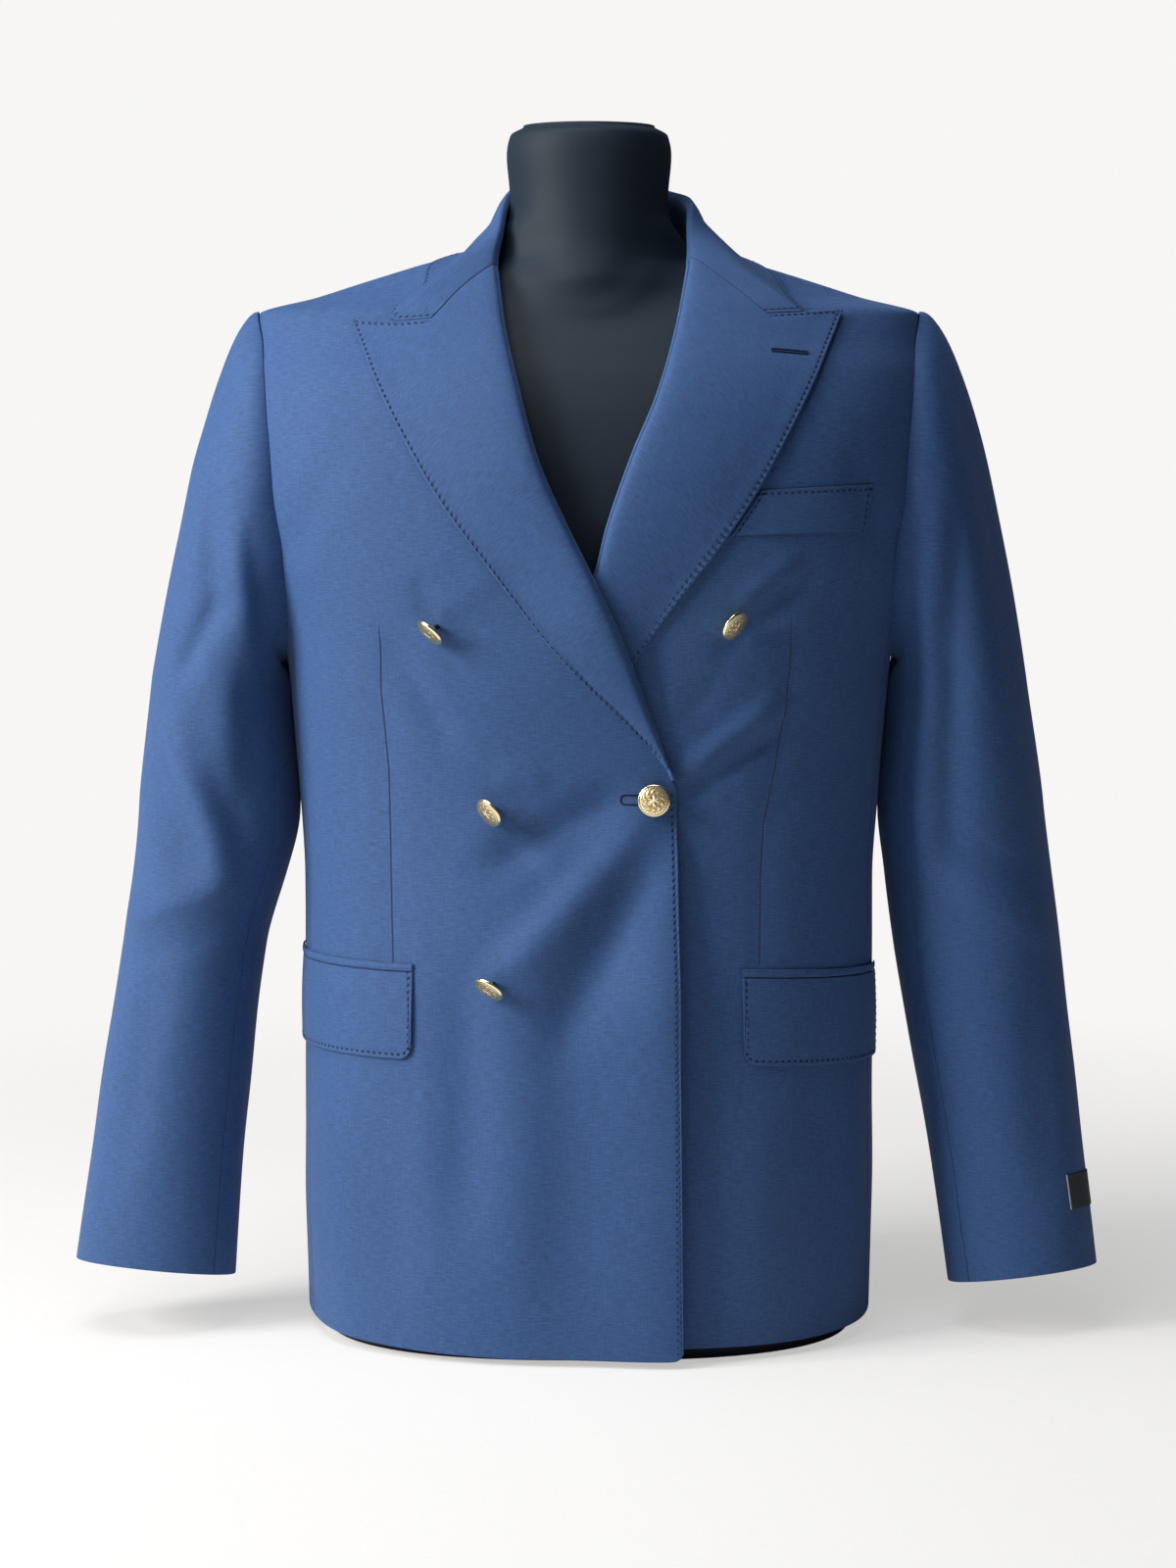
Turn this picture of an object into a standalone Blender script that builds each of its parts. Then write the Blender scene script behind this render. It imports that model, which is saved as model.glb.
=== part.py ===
"""A double-breasted blazer worn by a limbless dress form.

The cloth body is one family of level sections (a superellipse at every height), so each
panel is a patch of that surface between its own seams. Angles run round the body: 0 at the
centre front, +90 degrees at the left-hand side seam of the wearer, 180 at the centre back.
X points to the wearer's left, -Y to the front, +Z up, and the form stands on Z = 0.
All sizes are metres and degrees.
"""

import bpy
import numpy as np
from mathutils import Quaternion, Vector
from mathutils.bvhtree import BVHTree

# ---------------------------------------------------------------- driving sizes
WALL = 0.0015            # body, sleeve and collar cloth with its interlining
FLAP_WALL = 0.0016
SEAM = 0.0004            # each panel stops this far short of its seam line
LAY = 0.0004             # air between a laid-on piece and the panel under it
OVERLAP_LIFT = 0.0028    # how far the right front rides over the left front
UNDERLAP_SINK = 0.0022   # how far the covered strip of the left front sinks
LAPEL_WALL = 0.0020
LAPEL_ROLL = 0.0038      # extra rise of a lapel next to its fold
BUTTON_RADIUS = 0.0105
BUTTON_RIM = 0.0010      # depth of its rim
BUTTON_SIDES = 14
STEM_RINGS = 5
SHANK_RADIUS = 0.0021
SHANK_LENGTH = 0.0044    # of the metal shank, from the button's back
SHANK_SHARE = 0.65       # and at most this share of the way down to the cloth
STEM_RADIUS = 0.0012     # of the sewing thread wound between the shank and the cloth
BUTTON_LIFT = 0.0050     # of an upright button's back over the cloth
PRESSED_LIFT = 0.0024    # of the button that the right front covers
SHANK_GAP = 0.0004       # air between a stem's foot and the cloth

SIDE_SEAM = 74.0         # front to side panel
BACK_SEAM = 112.0        # side panel to back
SHOULDER_HEIGHT = 0.669
NECK_HEIGHT = 0.709
BREAK_HEIGHT = 0.368     # where the lapels start to turn
ARMHOLE = {"height": 0.558, "half_height": 0.111, "front_reach": 26.0, "back_reach": 28.0}

SECTION_COLUMNS = ("height", "half_width", "front", "back", "square")
SECTIONS = (
    (0.000, 0.1885, 0.137, 0.133, 2.50),
    (0.100, 0.1900, 0.135, 0.135, 2.50),
    (0.200, 0.1895, 0.129, 0.131, 2.45),
    (0.300, 0.1888, 0.121, 0.119, 2.40),
    (0.360, 0.1925, 0.118, 0.111, 2.40),
    (0.447, 0.1995, 0.125, 0.121, 2.40),
    (0.510, 0.2120, 0.129, 0.131, 2.40),
    (0.560, 0.2230, 0.126, 0.133, 2.35),
    (0.600, 0.2245, 0.116, 0.130, 2.30),
    (0.630, 0.2225, 0.101, 0.122, 2.20),
    (0.650, 0.2195, 0.086, 0.113, 2.00),
    (0.669, 0.2165, 0.070, 0.102, 1.85),
    (0.680, 0.1780, 0.061, 0.095, 1.70),
    (0.690, 0.1465, 0.053, 0.089, 1.62),
    (0.700, 0.1135, 0.046, 0.083, 1.60),
    (0.709, 0.0800, 0.042, 0.078, 1.60),
    (0.722, 0.0700, 0.040, 0.072, 1.70),
    (0.740, 0.0660, 0.038, 0.066, 1.80),
)

# Fold line of each lapel, from the break up to the neck: across is along X.
ROLL_COLUMNS = ("height", "right", "left")
ROLL_LINE = (
    (0.368, 0.0550, -0.0550),
    (0.415, 0.0360, -0.0370),
    (0.465, 0.0175, -0.0160),
    (0.498, 0.0020, 0.0035),
    (0.532, -0.0150, 0.0125),
    (0.575, -0.0340, 0.0275),
    (0.617, -0.0455, 0.0450),
    (0.660, -0.0555, 0.0575),
    (0.697, -0.0605, 0.0650),
)

# Outer edge of each lapel, from its lower end up to the tip of the peak: across, height.
RIGHT_EDGE = (
    (0.0560, 0.3740),
    (0.0300, 0.4030),
    (-0.0130, 0.4460),
    (-0.0620, 0.5070),
    (-0.0920, 0.5470),
    (-0.1140, 0.5830),
    (-0.1335, 0.6200),
    (-0.1525, 0.6630),
)
LEFT_EDGE = (
    (0.0190, 0.4350),
    (0.0270, 0.4465),
    (0.0525, 0.4825),
    (0.0850, 0.5250),
    (0.1075, 0.5590),
    (0.1280, 0.5960),
    (0.1415, 0.6220),
    (0.1630, 0.6690),
)
# Top of each lapel from the fold: gorge seam, notch, then out to the tip.
RIGHT_TOP = (
    (-0.0605, 0.6950),
    (-0.0810, 0.6788),
    (-0.0995, 0.6610),
    (-0.1250, 0.6605),
    (-0.1525, 0.6630),
)
LEFT_TOP = (
    (0.0650, 0.7020),
    (0.0895, 0.6828),
    (0.1130, 0.6648),
    (0.1370, 0.6668),
    (0.1630, 0.6690),
)
HIDDEN_FOOT_HEIGHT = 0.472    # the left lapel ends here, under the right front

# Buttons: across, height, droop and turn of the face in degrees, and which front carries it.
BUTTON_COLUMNS = ("name", "across", "height", "droop", "turn", "front")
BUTTONS = (
    ("upper_right", -0.0974, 0.4682, 37.0, -47.5, "right"),
    ("upper_left", 0.0896, 0.4721, 24.5, 40.0, "left"),
    ("middle_right", -0.0618, 0.3535, 29.5, -44.5, "right"),
    ("middle_left", 0.0402, 0.3614, -3.5, -14.0, "right"),
    ("lower_right", -0.0615, 0.2415, 49.5, -37.0, "right"),
    ("lower_left", 0.0480, 0.2376, 0.0, 0.0, "under"),
)
COVERED_BUTTON = BUTTONS[-1][1:3]

# Where the right front swells over what it covers: centre, half size and rise of the swell.
BUMP_COLUMNS = ("across", "height", "half_width", "half_height", "rise")
LAPEL_BUMP = (0.008, 0.478, 0.034, 0.045, 0.0048)
BUTTON_BUMP = (*COVERED_BUTTON, 0.026, 0.034, 0.0050)

# Pocket flaps: front end of the flap, its upper and lower edge there, its length round the
# body, and how far it falls over that length.
FLAP_COLUMNS = ("side", "across", "top", "length", "fall")
FLAPS = (("right", -0.1120, 0.2495, 0.145, 0.0015), ("left", 0.0972, 0.2470, 0.145, 0.0100))
FLAP_DEPTH = 0.0560
FLAP_CORNER = 0.0090
FLAP_STANDS = 0.0016     # how far its lower edge stands off the front
JETTING_WIDTH = 0.0050
JETTING_WALL = 0.0010
WELT_TOP = ((0.1078, 0.5560), (0.1815, 0.5592))     # inner and outer corner
WELT_FOOT = ((0.0881, 0.5275), (0.1768, 0.5301))

# Folds of the fronts and backs: each line runs from one (x, z) point to another.
FOLD_COLUMNS = ("x0", "z0", "x1", "z1", "half_width", "rise")
FRONT_FOLDS = (
    (0.030, 0.335, -0.062, 0.262, 0.015, 0.0040),
    (0.026, 0.318, -0.030, 0.245, 0.018, -0.0030),
    (0.020, 0.352, -0.055, 0.340, 0.013, -0.0020),
    (0.070, 0.385, 0.120, 0.425, 0.014, 0.0030),
    (0.064, 0.368, 0.122, 0.405, 0.013, -0.0020),
    (0.060, 0.410, 0.098, 0.440, 0.014, -0.0015),
    (0.100, 0.478, 0.135, 0.500, 0.013, 0.0020),
    (-0.062, 0.220, -0.040, 0.060, 0.022, 0.0030),
    (-0.130, 0.170, -0.125, 0.040, 0.020, -0.0025),
    (0.110, 0.160, 0.105, 0.040, 0.020, 0.0025),
)
BACK_FOLDS = (
    (-0.150, 0.560, -0.120, 0.390, 0.020, 0.0048),
    (0.148, 0.555, 0.122, 0.400, 0.022, 0.0045),
    (-0.170, 0.500, -0.150, 0.360, 0.016, -0.0035),
    (0.168, 0.510, 0.152, 0.370, 0.017, -0.0038),
    (-0.095, 0.345, -0.020, 0.320, 0.014, 0.0038),
    (0.100, 0.335, 0.030, 0.312, 0.015, 0.0035),
    (-0.085, 0.290, -0.125, 0.120, 0.022, -0.0042),
    (0.070, 0.270, 0.105, 0.090, 0.024, 0.0045),
    (-0.030, 0.250, -0.045, 0.070, 0.022, 0.0035),
)
# Folds of the sleeves: turn round the sleeve in degrees and height of both ends.
SLEEVE_FOLD_COLUMNS = ("turn0", "z0", "turn1", "z1", "half_width", "rise")
SLEEVE_FOLDS = {
    "right": (
        (20.0, 0.560, 62.0, 0.455, 0.016, 0.0046),
        (48.0, 0.575, 84.0, 0.480, 0.014, -0.0032),
        (100.0, 0.500, 118.0, 0.420, 0.015, 0.0038),
        (8.0, 0.440, 40.0, 0.375, 0.016, -0.0035),
        (110.0, 0.410, 60.0, 0.350, 0.014, 0.0049),
        (118.0, 0.345, 40.0, 0.318, 0.013, -0.0043),
        (112.0, 0.300, 30.0, 0.272, 0.014, 0.0043),
        (70.0, 0.240, 60.0, 0.110, 0.017, -0.0027),
        (-40.0, 0.470, -60.0, 0.330, 0.020, 0.0041),
        (-30.0, 0.290, -70.0, 0.240, 0.016, -0.0035),
    ),
    "left": (
        (66.0, 0.620, 74.0, 0.420, 0.014, 0.0049),
        (40.0, 0.600, 46.0, 0.450, 0.015, -0.0035),
        (98.0, 0.520, 104.0, 0.400, 0.015, -0.0032),
        (86.0, 0.400, 78.0, 0.310, 0.014, 0.0046),
        (112.0, 0.340, 50.0, 0.315, 0.013, -0.0041),
        (106.0, 0.292, 34.0, 0.262, 0.015, 0.0038),
        (60.0, 0.230, 66.0, 0.110, 0.018, -0.0027),
        (-44.0, 0.480, -58.0, 0.320, 0.020, 0.0038),
        (-30.0, 0.285, -72.0, 0.235, 0.016, -0.0035),
    ),
}
SLEEVE_GIRTH_RADIUS = 0.055    # turns a step round the sleeve into a length, for the folds

# ---------------------------------------------------------------- smooth tables


def smooth(table, columns, name, at):
    """Shape-keeping cubic through one column of a table whose first column is the height.

    The slope at each inner row is the weighted harmonic mean of the two chords beside it,
    or zero at a peak, so the curve never overshoots its rows.
    """
    rows = np.array(table)
    x = rows[:, 0]
    y = rows[:, columns.index(name)]
    step = np.diff(x)
    chord = np.diff(y) / step
    slope = np.empty(len(x))
    slope[0] = chord[0]
    slope[-1] = chord[-1]
    for i in range(1, len(x) - 1):
        before = step[i - 1]
        after = step[i]
        if chord[i - 1] * chord[i] <= 0:
            slope[i] = 0.0
            continue
        first = 2 * after + before
        second = after + 2 * before
        slope[i] = (first + second) / (first / chord[i - 1] + second / chord[i])
    at = np.clip(at, x[0], x[-1])
    cell = np.clip(np.searchsorted(x, at) - 1, 0, len(x) - 2)
    width = step[cell]
    t = (at - x[cell]) / width
    start = (2 * t**3 - 3 * t**2 + 1) * y[cell] + (t**3 - 2 * t**2 + t) * width * slope[cell]
    end = (3 * t**2 - 2 * t**3) * y[cell + 1] + (t**3 - t**2) * width * slope[cell + 1]
    return start + end


def along(points, t):
    """Smooth curve through a short list of points, t from 0 to 1 by chord length."""
    points = np.array(points, float)
    gaps = np.linalg.norm(np.diff(points, axis=0), axis=1)
    reach = np.append(0.0, np.cumsum(gaps)) / gaps.sum()
    slope = np.gradient(points, reach, axis=0)
    t = np.clip(np.asarray(t, float), 0.0, 1.0)
    cell = np.clip(np.searchsorted(reach, t) - 1, 0, len(reach) - 2)
    width = np.diff(reach)[cell][:, None]
    u = (t[:, None] - reach[cell][:, None]) / width
    start = (2 * u**3 - 3 * u**2 + 1) * points[cell] + (u**3 - 2 * u**2 + u) * width * slope[cell]
    end = (3 * u**2 - 2 * u**3) * points[cell + 1] + (u**3 - u**2) * width * slope[cell + 1]
    return start + end


def named(rows, columns):
    """Rows of a table as dictionaries, keyed by its column names."""
    return [dict(zip(columns, row)) for row in rows]


def ramp(value, start, end):
    """0 before start, 1 after end, smooth between them."""
    t = np.clip((value - start) / (end - start), 0.0, 1.0)
    return t * t * (3 - 2 * t)


# ---------------------------------------------------------------- the worn surface


def section(height):
    return [smooth(SECTIONS, SECTION_COLUMNS, name, height) for name in SECTION_COLUMNS[1:]]


def signed_power(value, power):
    return np.sign(value) * np.abs(value) ** power


def plain_body(angle, height):
    """Superellipse |x/w|^n + |y/d|^n = 1 at each height, d switching at the sides."""
    half_width, front, back, square = section(height)
    turn = np.radians(angle)
    depth = np.where(np.cos(turn) >= 0, front, back)
    x = half_width * signed_power(np.sin(turn), 2 / square)
    y = -depth * signed_power(np.cos(turn), 2 / square)
    return np.stack([x, y, height + 0 * x], axis=-1)


def crease(x, height, start, end, half_width, rise):
    """One soft ridge or trough: a bell across its line, fading in and out along it."""
    dx = end[0] - start[0]
    dz = end[1] - start[1]
    t = ((x - start[0]) * dx + (height - start[1]) * dz) / (dx * dx + dz * dz)
    across = (x - start[0] - t * dx) ** 2 + (height - start[1] - t * dz) ** 2
    fade = ramp(t, -0.25, 0.2) * (1 - ramp(t, 0.75, 1.3))
    return rise * np.exp(-across / half_width**2) * fade


def fold_rise(x, height, folds=FRONT_FOLDS):
    """Sum of the creases of a front or a back."""
    rise = 0.0 * x
    for fold in named(folds, FOLD_COLUMNS):
        start = (fold["x0"], fold["z0"])
        end = (fold["x1"], fold["z1"])
        rise = rise + crease(x, height, start, end, fold["half_width"], fold["rise"])
    return rise


def outward(angle, height):
    """Unit normal of the plain body, from central differences."""
    turn = 0.5
    rise = 0.001
    round_it = plain_body(angle + turn, height) - plain_body(angle - turn, height)
    up_it = plain_body(angle, height + rise) - plain_body(angle, height - rise)
    normal = np.cross(round_it, up_it)
    return normal / np.linalg.norm(normal, axis=-1, keepdims=True)


def body(angle, height, off=0.0):
    """Body surface with its folds, moved out by off."""
    point = plain_body(angle, height)
    facing = np.cos(np.radians(angle))
    off = off + fold_rise(point[..., 0], height) * ramp(facing, 0.1, 0.4)
    off = off + fold_rise(point[..., 0], height, BACK_FOLDS) * ramp(-facing, 0.1, 0.4)
    return point + outward(angle, height) * np.asarray(off)[..., None]


def front_angle(x, height):
    """Angle of the front point that stands at x."""
    half_width, _, _, square = section(height)
    share = np.clip(np.abs(x) / half_width, 0.0, 1.0)
    return np.degrees(np.sign(x) * np.arcsin(share ** (square / 2)))


def angle_beside(point, side):
    """Angle at which the body's section passes nearest to a point, by its shares of the axes."""
    half_width, front, back, square = section(point[..., 2])
    depth = np.where(point[..., 1] <= 0, front, back)
    across = np.abs(point[..., 0] / half_width) ** (square / 2)
    forward = np.abs(point[..., 1] / depth) ** (square / 2) * -np.sign(point[..., 1])
    return side * np.degrees(np.arctan2(across, forward))


def bump(x, height, size):
    """Round swell: a bell of the given half width and half height."""
    row = dict(zip(BUMP_COLUMNS, size))
    across = (x - row["across"]) / row["half_width"]
    upward = (height - row["height"]) / row["half_height"]
    return row["rise"] * np.exp(-(across**2) - upward**2)


def overlap(x, height):
    """How far the right front stands off: over the left front, its lapel and its button."""
    ride = OVERLAP_LIFT * ramp(x, -0.080, -0.060)
    over_lapel = bump(x, height, LAPEL_BUMP) * ramp(x, -0.07, -0.02)
    return ride + over_lapel + bump(x, height, BUTTON_BUMP)


def left_front_off(x, height):
    """The left front sinks under the right one, and its own folds fade out there."""
    hidden = 1 - ramp(x, 0.040, 0.058)
    hidden = hidden * (1 - ramp(height, 0.44, 0.50))
    return -UNDERLAP_SINK * hidden - fold_rise(x, height) * hidden


# ---------------------------------------------------------------- meshes


def clear_scene():
    for item in list(bpy.data.objects):
        bpy.data.objects.remove(item)


def material(name, colour, roughness, metallic=0.0):
    made = bpy.data.materials.new(name)
    made.use_nodes = True
    shader = made.node_tree.nodes["Principled BSDF"]
    shader.inputs["Base Color"].default_value = (*colour, 1.0)
    shader.inputs["Roughness"].default_value = roughness
    shader.inputs["Metallic"].default_value = metallic
    return made


def object_from(name, points, faces, look, collection):
    mesh = bpy.data.meshes.new(name)
    mesh.from_pydata(points.tolist(), [], faces)
    mesh.materials.append(look)
    mesh.shade_smooth()
    made = bpy.data.objects.new(name, mesh)
    collection.objects.link(made)
    return made


def grid_faces(rows, columns, wrap=False, flip=False):
    faces = []
    for i in range(rows - 1):
        for j in range(columns if wrap else columns - 1):
            k = (j + 1) % columns
            face = (i * columns + j, i * columns + k, (i + 1) * columns + k, (i + 1) * columns + j)
            faces.append(face[::-1] if flip else face)
    return faces


def sheet(name, points, wall, look, collection, flip=False):
    """A cloth piece: an open grid of points along its middle, given a wall."""
    rows, columns, _ = points.shape
    made = object_from(
        name, points.reshape(-1, 3), grid_faces(rows, columns, flip=flip), look, collection
    )
    thick = made.modifiers.new("wall", "SOLIDIFY")
    thick.thickness = wall
    thick.offset = 0.0
    return made


def patch(bottom, top, start, end, u=None, v=None):
    """Coons patch: rows run from bottom to top, columns from start to end.

    bottom and top share a length, start and end share another, and corners agree.
    u and v space the columns and the rows, evenly unless they are given.
    """
    u = np.linspace(0, 1, len(bottom)) if u is None else u
    v = np.linspace(0, 1, len(start)) if v is None else v
    u = u[None, :, None]
    v = v[:, None, None]
    across = (1 - u) * start[:, None] + u * end[:, None]
    upward = (1 - v) * bottom[None] + v * top[None]
    low = (1 - u) * bottom[0] + u * bottom[-1]
    high = (1 - u) * top[0] + u * top[-1]
    return across + upward - ((1 - v) * low + v * high)


# ---------------------------------------------------------------- seams and edges


def armhole(turn, side):
    """Point (angle, height) of the armhole; turn 0 is the shoulder, 90 the front, 270 the back."""
    swing = np.sin(np.radians(turn))
    reach = np.where(swing >= 0, ARMHOLE["front_reach"], ARMHOLE["back_reach"])
    angle = side * (90.0 - reach * swing)
    height = ARMHOLE["height"] + ARMHOLE["half_height"] * np.cos(np.radians(turn))
    return angle, height


def armhole_turn(angle):
    """Lower turn of the armhole where a seam at this angle meets it."""
    if angle < 90.0:
        return 180.0 - np.degrees(np.arcsin((90.0 - angle) / ARMHOLE["front_reach"]))
    return 180.0 + np.degrees(np.arcsin((angle - 90.0) / ARMHOLE["back_reach"]))


def hem_height(angle, side):
    """Hem of the blazer: the right front hangs lowest at the centre."""
    share = np.abs(angle) / 90.0
    if side < 0:
        return 0.0045 + 0.0085 * np.clip(share, 0, 1) ** 2
    return 0.0110 - 0.0020 * np.sin(np.pi * np.clip(share, 0, 1))


FRONT_ROWS = 24
FRONT_COLUMNS = 18


def front_panel(side):
    """(angle, height) grid of a front, from the hem to the shoulder, centre to side."""
    half = FRONT_ROWS // 2
    column = "right" if side < 0 else "left"
    low = np.linspace(0, 1, half + 1)
    high = np.linspace(0, 1, FRONT_ROWS - half)[1:]
    # centre edge, then the fold line, then the neck curve to the shoulder seam
    edge_x = -side * (0.0585 - 0.0035 * low)
    edge_z = hem_height(15.0, side) + (BREAK_HEIGHT - hem_height(15.0, side)) * low
    neck_share = 0.86
    roll_z = BREAK_HEIGHT + (ROLL_LINE[-1][0] - BREAK_HEIGHT) * np.clip(high / neck_share, 0, 1)
    roll_x = smooth(ROLL_LINE, ROLL_COLUMNS, column, roll_z)
    centre_angle = front_angle(np.append(edge_x, roll_x), np.append(edge_z, roll_z))
    centre_z = np.append(edge_z, roll_z)
    over = np.clip((high - neck_share) / (1 - neck_share), 0, 1)
    last = centre_angle[half + 1:]
    centre_angle[half + 1:] = last + over * (side * 90.0 - last)
    centre_z[half + 1:] = roll_z + over * (NECK_HEIGHT - roll_z)
    # side seam, then the armhole up to the shoulder point
    meet = armhole_turn(SIDE_SEAM)
    meet_height = armhole(meet, side)[1]
    hem_side = hem_height(SIDE_SEAM, side)
    seam_z = hem_side + (meet_height - hem_side) * low
    hole_angle, hole_z = armhole(meet * (1 - high), side)
    side_angle = np.append(side * SIDE_SEAM + 0 * seam_z, hole_angle)
    side_z = np.append(seam_z, hole_z)
    start = np.stack([centre_angle, centre_z], axis=-1)
    end = np.stack([side_angle, side_z], axis=-1)
    u = np.linspace(0, 1, FRONT_COLUMNS)
    hem_angle = start[0, 0] + (end[0, 0] - start[0, 0]) * u
    bottom = np.stack([hem_angle, hem_height(hem_angle, side)], axis=-1)
    bottom[0] = start[0]
    bottom[-1] = end[0]
    top_z = NECK_HEIGHT + (SHOULDER_HEIGHT - NECK_HEIGHT) * u
    top = np.stack([side * 90.0 + 0 * u, top_z], axis=-1)
    return patch(bottom, top, start, end)


def side_panel(side):
    """(angle, height) grid of the panel under the arm."""
    u = np.linspace(0, 1, 6)
    v = np.linspace(0, 1, 14)
    turn = armhole_turn(SIDE_SEAM) + (armhole_turn(BACK_SEAM) - armhole_turn(SIDE_SEAM)) * u
    top_angle, top_z = armhole(turn, side)
    bottom_angle = side * (SIDE_SEAM + (BACK_SEAM - SIDE_SEAM) * u)
    bottom = np.stack([bottom_angle, hem_height(bottom_angle, side)], axis=-1)
    top = np.stack([top_angle, top_z], axis=-1)
    start = bottom[0] + (top[0] - bottom[0]) * v[:, None]
    end = bottom[-1] + (top[-1] - bottom[-1]) * v[:, None]
    return patch(bottom, top, start, end)


BACK_ROWS = 22
BACK_COLUMNS = 10
BACK_NECK_HEIGHT = 0.731


def back_panel(side):
    """(angle, height) grid of a back, from the side seam to the centre back."""
    half = BACK_ROWS // 2
    low = np.linspace(0, 1, half + 1)
    high = np.linspace(0, 1, BACK_ROWS - half)[1:]
    meet = armhole_turn(BACK_SEAM)
    meet_height = armhole(meet, side)[1]
    hem_side = hem_height(BACK_SEAM, side)
    seam_z = hem_side + (meet_height - hem_side) * low
    hole_angle, hole_z = armhole(meet + (360.0 - meet) * high, side)
    start = np.stack(
        [np.append(side * BACK_SEAM + 0 * seam_z, hole_angle), np.append(seam_z, hole_z)], axis=-1
    )
    hem_back = hem_height(180.0, side)
    v = np.append(low * 0.5, 0.5 + high * 0.5)
    end = np.stack([side * 180.0 + 0 * v, hem_back + (BACK_NECK_HEIGHT - hem_back) * v], axis=-1)
    u = np.linspace(0, 1, BACK_COLUMNS)
    bottom_angle = side * (BACK_SEAM + (180.0 - BACK_SEAM) * u)
    bottom = np.stack([bottom_angle, hem_height(bottom_angle, side)], axis=-1)
    # shoulder seam out to the neck point, then the back neck to the centre
    shoulder = 0.62
    along_seam = np.clip(u / shoulder, 0, 1)
    round_neck = np.clip((u - shoulder) / (1 - shoulder), 0, 1)
    top_z = SHOULDER_HEIGHT + (NECK_HEIGHT - SHOULDER_HEIGHT) * along_seam
    top_z = top_z + (BACK_NECK_HEIGHT - NECK_HEIGHT) * np.sin(np.pi / 2 * round_neck)
    top = np.stack([side * (90.0 + 90.0 * round_neck), top_z], axis=-1)
    edges = [plain_body(edge[:, 0], edge[:, 1]) for edge in (bottom, top, start, end)]
    points = patch(*edges)
    return np.stack([angle_beside(points, side), points[..., 2]], axis=-1)


def draw_in(grid, gap):
    """Pull the rim of a 3-D grid inwards by gap, so that neighbours clear each other."""
    moved = grid.copy()
    for near, edge in ((1, 0), (-2, -1)):
        step = grid[near] - grid[edge]
        moved[edge] += gap * step / np.linalg.norm(step, axis=-1, keepdims=True)
        step = grid[:, near] - grid[:, edge]
        moved[:, edge] += gap * step / np.linalg.norm(step, axis=-1, keepdims=True)
    return moved


def front_off(side, x, height):
    return overlap(x, height) if side < 0 else left_front_off(x, height)


def build_panels(cloth, collection):
    for side, name in ((-1, "right"), (1, "left")):
        angle, height = np.moveaxis(front_panel(side), -1, 0)
        x = plain_body(angle, height)[..., 0]
        off = front_off(side, x, height) - WALL / 2
        points = draw_in(body(angle, height, off), SEAM)
        sheet(f"front_{name}", points, WALL, cloth, collection, flip=side < 0)
        for piece, panel in (("side_panel", side_panel), ("back", back_panel)):
            angle, height = np.moveaxis(panel(side), -1, 0)
            points = draw_in(body(angle, height, 0 * angle - WALL / 2), SEAM)
            sheet(f"{piece}_{name}", points, WALL, cloth, collection, flip=side < 0)


# ---------------------------------------------------------------- sleeves

SLEEVE_COLUMNS = ("share", "x", "y", "z", "half_width", "half_depth")
SLEEVES = {
    "right": (
        (0.000, 0.2450, 0.004, 0.430, 0.0442, 0.0680),
        (0.218, 0.2472, 0.003, 0.345, 0.0522, 0.0600),
        (0.436, 0.2625, -0.003, 0.260, 0.0466, 0.0540),
        (0.718, 0.2772, -0.018, 0.150, 0.0486, 0.0470),
        (1.000, 0.2887, -0.036, 0.040, 0.0524, 0.0400),
    ),
    "left": (
        (0.000, 0.2450, 0.004, 0.430, 0.0442, 0.0680),
        (0.218, 0.2486, 0.003, 0.345, 0.0538, 0.0600),
        (0.436, 0.2584, -0.003, 0.260, 0.0547, 0.0540),
        (0.718, 0.2741, -0.018, 0.150, 0.0509, 0.0470),
        (1.000, 0.2890, -0.036, 0.036, 0.0490, 0.0400),
    ),
}
SLEEVE_ROWS = 23
CAP_ROWS = 8
SLEEVE_START = 0.0011    # the sleeve starts this far outside the face of the body
HEAD_FULL = {"right": 0.054, "left": 0.068}    # how far a head leaves along the body's normal
HEAD_SET = {"right": 0.045, "left": 0.038}     # and how far its outside leans as it arrives
TOP_SLEEVE_COLUMNS = 15
UNDER_SLEEVE_COLUMNS = 9
FOREARM_SEAM = 142.0     # degrees round the sleeve from its outer line, over the front
ELBOW_SEAM = 232.0


def sleeve_axis(name, share):
    rows = SLEEVES[name]
    return np.stack([smooth(rows, SLEEVE_COLUMNS, key, share) for key in ("x", "y", "z")], axis=-1)


def sleeve_ring(name, turn, share):
    """Ring of the tube square to its axis, drawn on the +X side; turn 0 is out, 90 the front."""
    step = 0.02
    run = sleeve_axis(name, np.clip(share + step, 0, 1))
    run = run - sleeve_axis(name, np.clip(share - step, 0, 1))
    run = run / np.linalg.norm(run, axis=-1, keepdims=True)
    out = np.array([1.0, 0.0, 0.0]) - run * run[..., :1]
    out = out / np.linalg.norm(out, axis=-1, keepdims=True)
    front = np.cross(run, out)
    front = front * -np.sign(front[..., 1:2])
    wide = smooth(SLEEVES[name], SLEEVE_COLUMNS, "half_width", share)
    deep = smooth(SLEEVES[name], SLEEVE_COLUMNS, "half_depth", share)
    swing = np.radians(turn)
    return (
        sleeve_axis(name, share)
        + out * (wide * np.cos(swing))[..., None]
        + front * (deep * np.sin(swing))[..., None]
    )


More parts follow.
